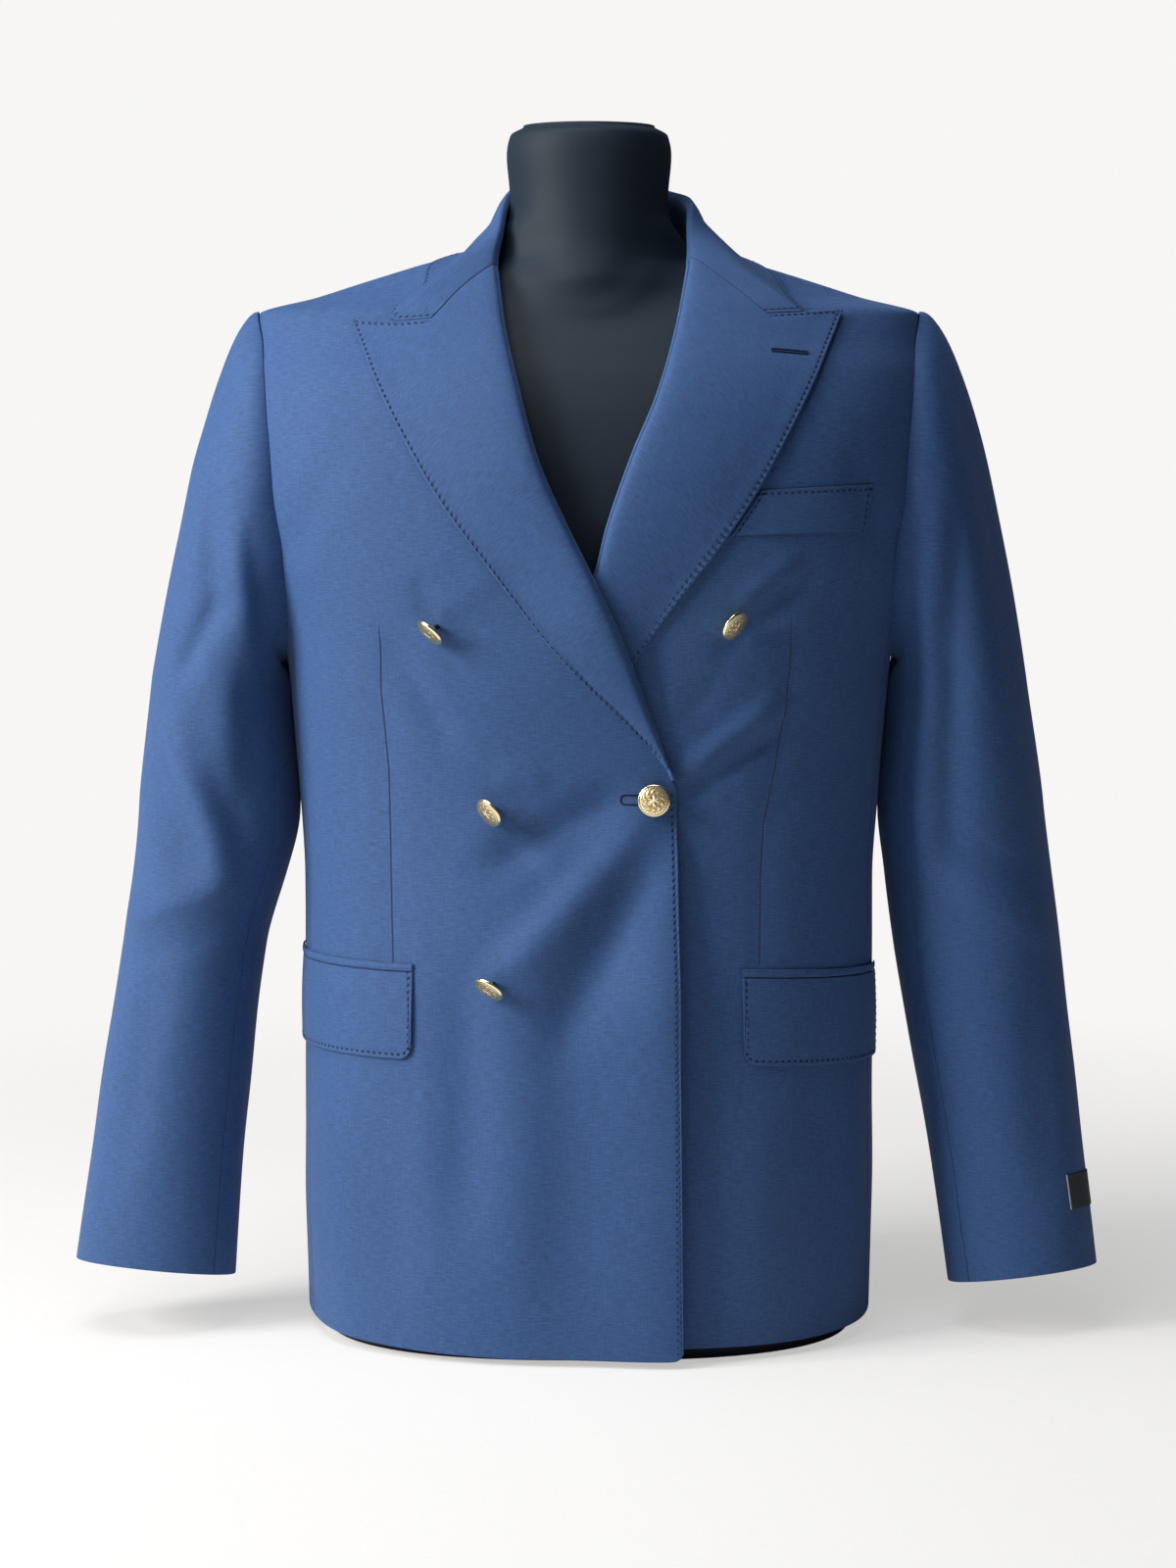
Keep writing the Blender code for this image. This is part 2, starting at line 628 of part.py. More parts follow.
def sleeve_cap(name, turn, share):
    """Cubic from the armhole (share 0) to the first ring (share 1)."""
    angle, height = armhole(turn, 1)
    start = plain_body(angle, height)
    normal = outward(angle, height)
    swing = np.radians(turn)
    start = start + SLEEVE_START * normal
    end = sleeve_ring(name, turn, 0 * share)
    up = 0.5 * (1 + np.cos(swing))
    leave = normal * (0.035 + HEAD_FULL[name] * up)[..., None]
    leave = leave + np.stack([0 * up, 0 * up, -0.035 * up - 0.02], axis=-1)
    drop = np.linalg.norm(end - start, axis=-1)
    arrive = np.stack([HEAD_SET[name] * up, 0 * up, -1.0 * drop], axis=-1)
    t = share[..., None]
    return (
        (2 * t**3 - 3 * t**2 + 1) * start
        + (t**3 - 2 * t**2 + t) * leave
        + (3 * t**2 - 2 * t**3) * end
        + (t**3 - t**2) * arrive
    )


def sleeve_fold_rise(name, turn, height):
    """Sum of the creases of one sleeve, laid out flat: turn times its radius, and height."""
    around = np.radians((turn + 128.0) % 360.0 - 128.0) * SLEEVE_GIRTH_RADIUS
    rise = 0.0 * around
    for fold in named(SLEEVE_FOLDS[name], SLEEVE_FOLD_COLUMNS):
        start = (np.radians(fold["turn0"]) * SLEEVE_GIRTH_RADIUS, fold["z0"])
        end = (np.radians(fold["turn1"]) * SLEEVE_GIRTH_RADIUS, fold["z1"])
        rise = rise + crease(around, height, start, end, fold["half_width"], fold["rise"])
    return rise


def sleeve_point(name, turn, row):
    """row 0 to CAP_ROWS is the cap, and on to SLEEVE_ROWS the tube down to the cuff."""
    cap_share = np.clip(row / CAP_ROWS, 0, 1)
    tube_share = np.clip((row - CAP_ROWS) / (SLEEVE_ROWS - CAP_ROWS), 0, 1)
    in_cap = (row <= CAP_ROWS)[..., None]
    cap = sleeve_cap(name, turn, cap_share)
    point = np.where(in_cap, cap, sleeve_ring(name, turn, tube_share))
    away = (point - sleeve_axis(name, tube_share)) * (1.0, 1.0, 0.0)
    away = away / np.linalg.norm(away, axis=-1, keepdims=True)
    rise = sleeve_fold_rise(name, turn, point[..., 2]) * ramp(row, 2.0, 5.0)
    return point + away * rise[..., None]


def build_sleeves(cloth, collection):
    rows = np.linspace(0, SLEEVE_ROWS, SLEEVE_ROWS + 1)
    for side, name in ((-1, "right"), (1, "left")):
        for piece, first, last, count in (
            ("top", ELBOW_SEAM - 360.0, FOREARM_SEAM, TOP_SLEEVE_COLUMNS),
            ("under", FOREARM_SEAM, ELBOW_SEAM, UNDER_SLEEVE_COLUMNS),
        ):
            turn, row = np.meshgrid(np.linspace(first, last, count), rows)
            points = draw_in(sleeve_point(name, turn % 360.0, row), SEAM)
            points[..., 0] *= side
            piece_name = f"{piece}_sleeve_{name}"
            sheet(piece_name, points, WALL, cloth, collection, flip=side > 0)


# ---------------------------------------------------------------- dress form

FORM_COLUMNS = ("height", "inset")
FORM_INSET = (
    (0.000, 0.0130),
    (0.100, 0.0140),
    (0.360, 0.0090),
    (0.500, 0.0110),
    (0.600, 0.0100),
    (0.650, 0.0082),
    (0.669, 0.0075),
    (0.709, 0.0072),
    (0.740, 0.0078),
)
NECK_COLUMNS = ("height", "half_width", "front", "back")
NECK = (
    (0.690, 0.0600, 0.066, 0.060),
    (0.715, 0.0535, 0.056, 0.056),
    (0.745, 0.0520, 0.051, 0.054),
    (0.772, 0.0540, 0.050, 0.055),
    (0.785, 0.0515, 0.047, 0.053),
    (0.790, 0.0430, 0.038, 0.044),
)
NECK_TOP = 0.7912
NECK_BLEND = 0.022       # difference of reach over which the torso flares into the neck
NECK_FLARE = 0.0035      # how far the flare rounds out at the front
FLARE_START = 0.640      # no neck below this height


def form_ring(height, count):
    """Torso ring inset from the cloth, flaring softly into the neck's ring."""
    angle = np.linspace(-180.0, 180.0, count, endpoint=False)
    turn = np.radians(angle)
    inset = smooth(FORM_INSET, FORM_COLUMNS, "inset", np.array([height]))[0]
    level = 0 * angle + height
    for _ in range(4):
        # the cloth's level whose inset point comes out at this height
        level = np.clip(height + inset * outward(angle, level)[:, 2], 0.001, 0.736)
    torso = plain_body(angle, level) - outward(angle, level) * inset
    torso[:, 2] = height
    if height < FLARE_START:
        return torso
    half_width, front, back = [
        smooth(NECK, NECK_COLUMNS, name, np.array([height]))[0] for name in NECK_COLUMNS[1:]
    ]
    depth = np.where(np.cos(turn) >= 0, front, back)
    neck = np.stack([half_width * np.sin(turn), 0.006 - depth * np.cos(turn), 0 * turn], axis=-1)
    neck[:, 2] = height
    wide = np.hypot(neck[:, 0], neck[:, 1]) - np.hypot(torso[:, 0], torso[:, 1])
    share = ramp(wide, -NECK_BLEND, NECK_BLEND) * ramp(height, FLARE_START, 0.675)
    share = share + (1 - share) * ramp(height, 0.715, 0.735)
    mixed = torso + (neck - torso) * share[:, None]
    flare = 4 * share * (1 - share) * np.clip(1 - np.abs(wide) / NECK_BLEND, 0, 1)
    flare = NECK_FLARE * flare * ramp(np.cos(turn), 0.0, 0.5)
    return mixed + flare[:, None] * np.stack([np.sin(turn), -np.cos(turn), 0 * turn], axis=-1)


def build_form(look, collection):
    count = 40
    torso = np.append(np.linspace(0.0, 0.62, 14), (0.640, 0.655, 0.666, 0.675, 0.682, 0.689))
    neck = (0.696, 0.703, 0.711, 0.720, 0.732, 0.750, 0.772, 0.782, 0.788, NECK_TOP)
    heights = np.append(torso, neck)
    rings = [form_ring(height, count) for height in heights]
    points = np.concatenate(rings)
    faces = grid_faces(len(rings), count, wrap=True)
    faces.append(tuple(range(count))[::-1])
    last = (len(rings) - 1) * count
    faces.append(tuple(range(last, last + count)))
    return object_from("dress_form", points, faces, look, collection)


# ---------------------------------------------------------------- lapels and collar

LAPEL_ROWS = 18
LAPEL_COLUMNS = 7
NOTCH = {-1: 0.494, 1: 0.548}    # share of a lapel's top edge at which its notch lies


def on_front(side, x, height, off):
    """Points above one front: off is measured from that front's own outer face."""
    angle = front_angle(x, height)
    return body(angle, height, front_off(side, x, height) + off)


def puff(share):
    """Rise of a turned lapel across its width: quick at the fold, gone at the outer edge."""
    return np.sin(np.pi * share**0.38)


def top_line(side, share):
    """Top edge of a lapel: the gorge curve to the notch, a corner there, the peak's top."""
    points = RIGHT_TOP if side < 0 else LEFT_TOP
    share = np.asarray(share, float)
    gorge = along(points[:3], share / NOTCH[side])
    peak = along(points[2:], (share - NOTCH[side]) / (1 - NOTCH[side]))
    return np.where((share < NOTCH[side])[:, None], gorge, peak)


def lapel_top(side, share):
    """Points along the top edge of a lapel, from its fold (0) to its tip (1)."""
    flat = top_line(side, share)
    off = LAY + LAPEL_WALL / 2 + LAPEL_ROLL * puff(share)
    return on_front(side, flat[:, 0], flat[:, 1], off)


def lapel_shares(side):
    """Shares across a lapel: closer together at the fold, one of them on the notch."""
    u = np.linspace(0, 1, LAPEL_COLUMNS) ** 1.4
    u[np.argmin(np.abs(u - NOTCH[side]))] = NOTCH[side]
    return u


def lapel_outline(side):
    """Flat patch (x, height) of a lapel: rows upwards, columns from the fold outwards."""
    v = np.linspace(0, 1, LAPEL_ROWS)
    u = lapel_shares(side)
    if side < 0:
        column, outer, top, foot = "right", RIGHT_EDGE, RIGHT_TOP, 0.374
    else:
        column, outer, top, foot = "left", LEFT_EDGE, LEFT_TOP, HIDDEN_FOOT_HEIGHT
    fold_z = foot + (top[0][1] - foot) * v
    fold_x = smooth(ROLL_LINE, ROLL_COLUMNS, column, fold_z)
    start = np.stack([fold_x, fold_z], axis=-1)
    start[-1] = top[0]
    end = along(outer, v)
    bottom = start[0] + (end[0] - start[0]) * u[:, None]
    return patch(bottom, top_line(side, u), start, end, u, v)


def build_lapels(cloth, collection):
    for side, name in ((-1, "right"), (1, "left")):
        flat = lapel_outline(side)
        share = lapel_shares(side)[None, :]
        grow = ramp(np.linspace(0, 1, LAPEL_ROWS), 0.0, 0.25)[:, None]
        off = LAY + LAPEL_WALL / 2 + LAPEL_ROLL * puff(share) * (0.35 + 0.65 * grow)
        points = draw_in(on_front(side, flat[..., 0], flat[..., 1], off), SEAM)
        sheet(f"lapel_{name}", points, LAPEL_WALL, cloth, collection, flip=side < 0)


# Collar stations from the gorge to the centre back. The roll is its top edge in space; the
# leaf and the foot lie on the body, given as angle and height.
COLLAR_COLUMNS = (
    "share", "roll_x", "roll_y", "roll_z", "leaf_angle", "leaf_z", "foot_angle", "foot_z"
)
LEFT_COLLAR = (
    (0.00, 0.0655, -0.032, 0.7058, 32.5, 0.6668, 47.0, 0.7000),
    (0.07, 0.0662, -0.026, 0.7145, 41.3, 0.6722, 56.5, 0.7026),
    (0.16, 0.0673, -0.018, 0.7279, 57.0, 0.6880, 72.0, 0.7063),
    (0.28, 0.0684, -0.006, 0.7400, 90.0, 0.7026, 90.0, 0.7112),
    (0.62, 0.0520, 0.046, 0.7520, 135.0, 0.7040, 135.0, 0.7268),
    (1.00, 0.0000, 0.0745, 0.7620, 180.0, 0.7160, 180.0, 0.7330),
)
RIGHT_COLLAR = (
    (0.00, 0.0600, -0.040, 0.6995, 28.3, 0.6635, 38.0, 0.6985),
    (0.07, 0.0601, -0.034, 0.7090, 35.6, 0.6662, 50.0, 0.7014),
    (0.16, 0.0590, -0.025, 0.7244, 50.0, 0.6895, 68.0, 0.7057),
    (0.28, 0.0572, -0.012, 0.7385, 90.0, 0.7062, 90.0, 0.7112),
    (0.62, 0.0525, 0.046, 0.7520, 135.0, 0.7040, 135.0, 0.7268),
    (1.00, 0.0000, 0.0745, 0.7620, 180.0, 0.7160, 180.0, 0.7330),
)
COLLAR_WALL = 0.0018
COLLAR_SWELL = 0.0016    # how far the fall rounds out between its roll and its edge
COLLAR_TURN = 0.0020     # half the depth of the fold along its top
COLLAR_HUG = {-1: 0.0050, 1: 0.0030}    # how far the fall sinks towards the neck at its sides
COLLAR_TUCK = 0.0020     # how far the stand's foot goes inside the neckline there
COLLAR_CLEAR = 0.0015    # air between the fall's edge and the cloth under it
COLLAR_EDGE_RISE = {-1: 0.0045, 1: 0.0065}   # and this much more where it goes over the shoulder
COLLAR_GAP = 0.0006      # the collar stops this far short of the lapels
COLLAR_CORNER = 0.07     # share at which the fall's front corner stands, beyond the notch
CORNER_END = {-1: 0.717, 1: 0.757}      # share of the lapel's top edge at which it ends
GORGE_PLACES = np.array((0.0, 0.03, 0.33, 0.67, 1.0))    # guide lines 3 to 7 along the gorge
GORGE_REACH = 0.20       # beyond this share the collar has left the lapel's level
CORNER_REACH = 0.26      # and its edge has left the line of the peak
EDGE_PULL = np.array((0.0, 0.0, 0.0, 0.0, 0.0, 0.15, 0.55, 1.0))    # of that line on each guide
COLLAR_ROWS = 10         # stations on each side


def collar_side(table, side):
    """Half of the collar: rows from the gorge to the back, columns foot, roll, leaf."""
    share = np.append(0.0, np.linspace(COLLAR_CORNER, 1, COLLAR_ROWS - 1))
    read = {name: smooth(table, COLLAR_COLUMNS, name, share) for name in COLLAR_COLUMNS[1:]}
    roll = np.stack([read["roll_x"], read["roll_y"], read["roll_z"]], axis=-1)
    at_side = ramp(share, 0.08, 0.24) * (1 - ramp(share, 0.36, 0.62))
    leaf_off = COLLAR_CLEAR + COLLAR_WALL / 2 + COLLAR_EDGE_RISE[side] * np.sin(np.pi * share)
    leaf = body(read["leaf_angle"], read["leaf_z"], leaf_off)
    foot = body(read["foot_angle"], read["foot_z"], -WALL / 2 - COLLAR_TUCK * at_side)
    away = roll * (1.0, 1.0, 0.0) - (0.0, 0.006, 0.0)
    away = away / np.linalg.norm(away, axis=-1, keepdims=True)
    up = np.array([0.0, 0.0, 1.0])
    inner = roll - COLLAR_TURN * away - 0.0028 * up
    outer = roll + COLLAR_TURN * away - 0.0024 * up
    swell = COLLAR_SWELL * ramp(share, 0.0, 2 * COLLAR_CORNER)[:, None] * (0.5 * away + 0.8 * up)
    hug = (COLLAR_HUG[side] * at_side)[:, None] * (0.65 * away + 0.76 * up)
    columns = [
        foot,
        foot + (inner - foot) * 0.5 - 0.0006 * away,
        inner,
        roll,
        outer,
        outer + (leaf - outer) * 0.33 + swell - 0.6 * hug,
        outer + (leaf - outer) * 0.67 + swell * 0.8 - hug,
        leaf,
    ]
    points = np.stack(columns, axis=1)
    points[..., 0] *= side
    # along the gorge the fall meets the lapel's top edge, and its end runs on along the peak
    shift = lapel_top(side, NOTCH[side] * GORGE_PLACES) - points[0, 3:]
    shift = np.concatenate([shift[:1] * [[0.0], [0.5], [1.0]], shift])
    points = points + (1 - ramp(share, 0.0, GORGE_REACH))[:, None, None] * shift
    to_corner = np.clip(share / COLLAR_CORNER, 0, 1)
    peak = lapel_top(side, NOTCH[side] + (CORNER_END[side] - NOTCH[side]) * to_corner)
    rest = peak - points[:, 7]
    rest[2:] = rest[1]
    rest = rest * (1 - ramp(share, COLLAR_CORNER, CORNER_REACH))[:, None]
    return points + EDGE_PULL[None, :, None] * rest[:, None]


def build_collar(cloth, collection):
    right = collar_side(RIGHT_COLLAR, -1)
    left = collar_side(LEFT_COLLAR, 1)
    points = np.concatenate([right, left[-2::-1]])
    sheet("collar", draw_in(points, COLLAR_GAP), COLLAR_WALL, cloth, collection, flip=True)


# ---------------------------------------------------------------- pockets


def walk(angle, height, length):
    """Angle reached after going this far round the body at one height, away from the centre."""
    turn = np.sign(angle) * np.linspace(abs(angle), 178.0, 600)
    path = plain_body(turn, 0 * turn + height)
    reach = np.append(0.0, np.cumsum(np.linalg.norm(np.diff(path, axis=0), axis=1)))
    return np.interp(length, reach, turn)


def pocket_strip(flap, top, depth, columns, rows, corner=0.0):
    """(angle, height) grid of a strip that goes round the body from its front end."""
    length = flap["length"]
    first = front_angle(np.array([flap["across"]]), np.array([top]))[0]
    u = np.linspace(0, 1, columns)
    if corner:
        u = np.sort(np.append(u[1:-1], (0.0, 0.3 * corner / length, 1 - 0.3 * corner / length, 1.0)))
    angle = np.array([walk(first, top, length * share) for share in u])
    near_end = length * np.minimum(u, 1 - u)
    short = np.clip(corner - near_end, 0, None)
    cut = corner - np.sqrt(np.clip(corner**2 - short**2, 0, None))
    v = np.linspace(0, 1, rows)[:, None]
    upper = top - flap["fall"] * u[None, :]
    lower = upper - depth + cut[None, :]
    height = lower + (upper - lower) * v
    return angle[None, :] + 0 * v, height


def build_pockets(cloth, collection):
    for flap in named(FLAPS, FLAP_COLUMNS):
        name = flap["side"]
        side = -1 if name == "right" else 1
        top = flap["top"]
        angle, height = pocket_strip(flap, top, FLAP_DEPTH, 11, 5, FLAP_CORNER)
        x = plain_body(angle, height)[..., 0]
        off = front_off(side, x, height) + LAY + FLAP_WALL / 2
        off = off + FLAP_STANDS * (top - height) / FLAP_DEPTH
        sheet(f"flap_{name}", body(angle, height, off), FLAP_WALL, cloth, collection, flip=side < 0)
        angle, height = pocket_strip(flap, top + JETTING_WIDTH + LAY, JETTING_WIDTH, 10, 2)
        off = front_off(side, x[0, 0] + 0 * angle, height) + LAY + JETTING_WALL / 2
        sheet(
            f"jetting_{name}", body(angle, height, off), JETTING_WALL, cloth, collection,
            flip=side < 0,
        )


def build_welt(cloth, collection):
    """Breast pocket welt on the left front; its inner end follows the lapel's edge."""
    rows = np.linspace(0, 1, 4)
    columns = np.linspace(0, 1, 9)
    foot = np.array(WELT_FOOT)
    top = np.array(WELT_TOP)
    lower = foot[0] + (foot[1] - foot[0]) * columns[:, None]
    upper = top[0] + (top[1] - top[0]) * columns[:, None]
    flat = lower[None] + (upper - lower)[None] * rows[:, None, None]
    off = 0 * flat[..., 0] + LAY + JETTING_WALL / 2
    points = on_front(1, flat[..., 0], flat[..., 1], off)
    sheet("breast_welt", points, JETTING_WALL, cloth, collection)


# ---------------------------------------------------------------- buttons and label


def button(name, centre, face, shank, foot, normal, look, collection):
    """Domed metal button whose thread stem bends down to the cloth.

    A loft: round rings along one line, which runs straight back from the face through the
    metal shank, and then as a cubic to the foot, where it stands square to the cloth.
    """
    head = (
        (0.03 * BUTTON_RADIUS, 0.0030),
        (0.45 * BUTTON_RADIUS, 0.0025),
        (0.80 * BUTTON_RADIUS, 0.0013),
        (0.97 * BUTTON_RADIUS, 0.0003),
        (BUTTON_RADIUS, -0.0003),
        (0.92 * BUTTON_RADIUS, -BUTTON_RIM),
        (1.6 * SHANK_RADIUS, -BUTTON_RIM - 0.0001),
        (SHANK_RADIUS, -BUTTON_RIM - 0.0002),
        (SHANK_RADIUS, 0.0002 - shank),
    )
    eye = centre - face * shank
    reach = (eye - foot).length
    before = eye - face * 0.4 * reach
    after = foot + normal * 0.5 * reach
    rings = [(centre + face * level, face, radius) for radius, level in head]
    for t in np.linspace(0, 1, STEM_RINGS).tolist():
        place = (1 - t) ** 3 * eye + 3 * t * (1 - t) ** 2 * before
        place = place + 3 * t**2 * (1 - t) * after + t**3 * foot
        way = (1 - t) ** 2 * (eye - before) + 2 * t * (1 - t) * (before - after)
        rings.append((place, (way + t**2 * (after - foot)).normalized(), STEM_RADIUS))
    turn = np.linspace(0, 2 * np.pi, BUTTON_SIDES, endpoint=False)[:, None]
    level = face.orthogonal()
    points = []
    for place, way, radius in rings:
        first = (level - way * level.dot(way)).normalized()
        second = np.array(way.cross(first))
        round_it = np.cos(turn) * np.array(first) + np.sin(turn) * second
        points.append(np.array(place) + radius * round_it)
    faces = grid_faces(len(rings), BUTTON_SIDES, wrap=True, flip=True)
    last = (len(rings) - 1) * BUTTON_SIDES
    faces.append(tuple(range(BUTTON_SIDES)))
    faces.append(tuple(range(last, last + BUTTON_SIDES))[::-1])
    return object_from(name, np.concatenate(points), faces, look, collection)


def aim(normal, row):
    """The cloth's normal, dropped towards the floor and turned about the upright."""
    face = Vector(normal)
    level = face.cross(Vector((0.0, 0.0, 1.0))).normalized()
    face = Quaternion(level, -np.radians(row["droop"])) @ face
    return Quaternion((0.0, 0.0, 1.0), np.radians(row["turn"])) @ face


def build_buttons(look, collection):
    """Each button rises until its rim clears the cloth, and its stem reaches down to it."""
    graph = bpy.context.evaluated_depsgraph_get()
    for row in named(BUTTONS, BUTTON_COLUMNS):
        side = -1 if row["front"] == "right" else 1
        x = np.array([row["across"]])
        z = np.array([row["height"]])
        normal = Vector(outward(front_angle(x, z), z)[0])
        face = aim(normal, row)
        tilt = normal.angle(face)
        rim_clears = BUTTON_RADIUS * np.sin(tilt) + BUTTON_RIM * np.cos(tilt) + 2 * LAY
        lift = max(rim_clears, PRESSED_LIFT if row["front"] == "under" else BUTTON_LIFT)
        centre = Vector(on_front(side, x, z, 0 * x)[0]) + normal * lift
        front = bpy.data.objects["front_right" if side < 0 else "front_left"]
        cloth = BVHTree.FromObject(front, graph)
        shank = min(SHANK_LENGTH, SHANK_SHARE * cloth.ray_cast(centre, -face)[3])
        foot = cloth.ray_cast(centre - face * shank, -normal)[0] + normal * SHANK_GAP
        button(f"button_{row['name']}", centre, face, shank, foot, normal, look, collection)


LABEL_TURN = (50.0, -12.0)      # from its front end round the outside of the left sleeve
LABEL_SHARES = (0.905, 0.850)   # its lower and upper edge down the tube
LABEL_WALL = 0.0005


def build_label(look, collection):
    """A small bare label round the outside of the left sleeve, just above the cuff."""
    turn, share = np.meshgrid(np.linspace(*LABEL_TURN, 7), np.linspace(*LABEL_SHARES, 3))
    step = 0.5
    round_it = sleeve_ring("left", turn + step, share) - sleeve_ring("left", turn - step, share)
    down_it = sleeve_ring("left", turn, share + 0.01) - sleeve_ring("left", turn, share - 0.01)
    normal = np.cross(round_it, down_it)
    normal = normal / np.linalg.norm(normal, axis=-1, keepdims=True)
    normal = normal * np.sign(normal[..., :1])
    points = sleeve_ring("left", turn, share) + normal * (WALL / 2 + LAY + LABEL_WALL / 2)
    sheet("sleeve_label", points, LABEL_WALL, look, collection)


# ---------------------------------------------------------------- main


def main():
    clear_scene()
    collection = bpy.data.collections.new("double_breasted_blazer")
    bpy.context.scene.collection.children.link(collection)
    cloth = material("blue_wool", (0.035, 0.085, 0.235), 0.85)
    black = material("form_cover", (0.010, 0.013, 0.020), 0.7)
    build_form(black, collection)
    build_panels(cloth, collection)
    build_sleeves(cloth, collection)
    build_lapels(cloth, collection)
    build_collar(cloth, collection)
    build_pockets(cloth, collection)
    build_welt(cloth, collection)
    build_buttons(material("gilt_brass", (0.72, 0.52, 0.20), 0.25, 1.0), collection)
    build_label(material("label_weave", (0.012, 0.012, 0.014), 0.8), collection)


main()
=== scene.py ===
"""A double-breasted blazer on a limbless dress form: cloth, sewing, buttons and studio."""

import bpy
import numpy as np
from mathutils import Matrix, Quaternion, Vector
from mathutils.bvhtree import BVHTree


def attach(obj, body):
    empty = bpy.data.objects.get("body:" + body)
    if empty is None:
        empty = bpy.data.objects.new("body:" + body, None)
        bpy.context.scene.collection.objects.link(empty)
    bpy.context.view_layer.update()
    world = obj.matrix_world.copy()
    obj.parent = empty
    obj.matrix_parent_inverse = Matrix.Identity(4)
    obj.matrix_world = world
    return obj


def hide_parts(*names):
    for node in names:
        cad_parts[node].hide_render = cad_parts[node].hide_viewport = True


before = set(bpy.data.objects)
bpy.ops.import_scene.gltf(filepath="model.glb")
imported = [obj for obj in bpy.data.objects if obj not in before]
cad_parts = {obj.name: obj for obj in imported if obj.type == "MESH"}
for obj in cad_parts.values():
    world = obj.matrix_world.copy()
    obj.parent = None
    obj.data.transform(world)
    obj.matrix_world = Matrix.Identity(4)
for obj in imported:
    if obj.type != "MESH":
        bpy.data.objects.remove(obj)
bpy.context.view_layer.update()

# ------------------------------------------------- tailor's sizes, metres and degrees
SIDE_NAMES = {-1: "right", 1: "left"}     # the wearer's right is at -X
WALL = 0.0015            # body and sleeve cloth
FLAP_WALL = 0.0016
LAPEL_WALL = 0.0020
COLLAR_WALL = 0.0018
STRIP_WALL = 0.0010      # jettings and welt
LAY = 0.0004             # air under a laid-on piece
SEAM = 0.00004           # each panel stops this far short of its seam line
OVERLAP_LIFT = 0.0028    # how far the right front rides over the left front
UNDERLAP_SINK = 0.0022   # how far the covered strip of the left front sinks
LAPEL_ROLL = 0.0038      # extra rise of a lapel next to its fold
# how the right front's free edge stands off below its fastening button
FRONT_STANDS = {"rise": 0.0058, "width": 0.029, "gone": 0.350, "full": 0.312,
                "more_rise": 0.0030, "more_width": 0.017, "from": 0.300, "to": 0.120}
STITCH_IN = 0.0030       # pick stitches stand this far in from an edge
STITCH_PITCH = 0.0045
STITCH_DIP = 0.0002      # how far the whole row sinks; each stitch sinks more
EDGE_STANDS = 0.0008     # how far a lapel's outer edge stands off the front
SIDE_SEAM = 74.0         # front to side panel, degrees round from the centre front
BACK_SEAM = 112.0        # side panel to back
SHOULDER_HEIGHT = 0.669
NECK_HEIGHT = 0.709
BACK_NECK_HEIGHT = 0.731
BREAK_HEIGHT = 0.368     # where the lapels begin to turn
ARMHOLE = {"height": 0.558, "half_height": 0.111, "front_reach": 26.0, "back_reach": 28.0}

SECTION_COLUMNS = ("height", "half_width", "front", "back", "square")
SECTIONS = (
    (0.000, 0.1885, 0.137, 0.133, 2.50),
    (0.100, 0.1900, 0.135, 0.135, 2.50),
    (0.200, 0.1895, 0.129, 0.131, 2.45),
    (0.300, 0.1888, 0.121, 0.119, 2.40),
    (0.360, 0.1925, 0.118, 0.111, 2.40),
    (0.447, 0.1995, 0.125, 0.121, 2.40),
    (0.510, 0.2120, 0.129, 0.131, 2.40),
    (0.560, 0.2230, 0.126, 0.133, 2.35),
    (0.600, 0.2245, 0.116, 0.130, 2.30),
    (0.630, 0.2225, 0.101, 0.122, 2.20),
    (0.650, 0.2195, 0.086, 0.113, 2.00),
    (0.669, 0.2165, 0.070, 0.102, 1.85),
    (0.680, 0.1780, 0.061, 0.095, 1.70),
    (0.690, 0.1465, 0.053, 0.089, 1.62),
    (0.700, 0.1135, 0.046, 0.083, 1.60),
    (0.709, 0.0800, 0.042, 0.078, 1.60),
    (0.722, 0.0700, 0.040, 0.072, 1.70),
    (0.740, 0.0660, 0.038, 0.066, 1.80),
)
ROLL_COLUMNS = ("height", "right", "left")
ROLL_LINE = (
    (0.368, 0.0550, -0.0550),
    (0.415, 0.0360, -0.0370),
    (0.465, 0.0175, -0.0160),
    (0.498, 0.0020, 0.0035),
    (0.532, -0.0150, 0.0125),
    (0.575, -0.0340, 0.0275),
    (0.617, -0.0455, 0.0450),
    (0.660, -0.0555, 0.0575),
    (0.697, -0.0605, 0.0650),
)
# Lapels, as (across, height): the outer edge up to the peak, the top edge from the fold to
# the peak, and the height at which the fold starts.
LAPEL_EDGE = {
    -1: (
        (0.0560, 0.3740),
        (0.0300, 0.4030),
        (-0.0130, 0.4460),
        (-0.0620, 0.5070),
        (-0.0920, 0.5470),
        (-0.1140, 0.5830),
        (-0.1335, 0.6200),
        (-0.1525, 0.6630),
    ),
    1: (
        (0.0190, 0.4350),
        (0.0270, 0.4465),
        (0.0525, 0.4825),
        (0.0850, 0.5250),
        (0.1075, 0.5590),
        (0.1280, 0.5960),
        (0.1415, 0.6220),
        (0.1630, 0.6690),
    ),
}
LAPEL_TOP = {
    -1: (
        (-0.0605, 0.6950),
        (-0.0810, 0.6788),
        (-0.0995, 0.6610),
        (-0.1250, 0.6605),
        (-0.1525, 0.6630),
    ),
    1: (
        (0.0650, 0.7020),
        (0.0895, 0.6828),
        (0.1130, 0.6648),
        (0.1370, 0.6668),
        (0.1630, 0.6690),
    ),
}
LAPEL_FOOT = {-1: 0.374, 1: 0.472}

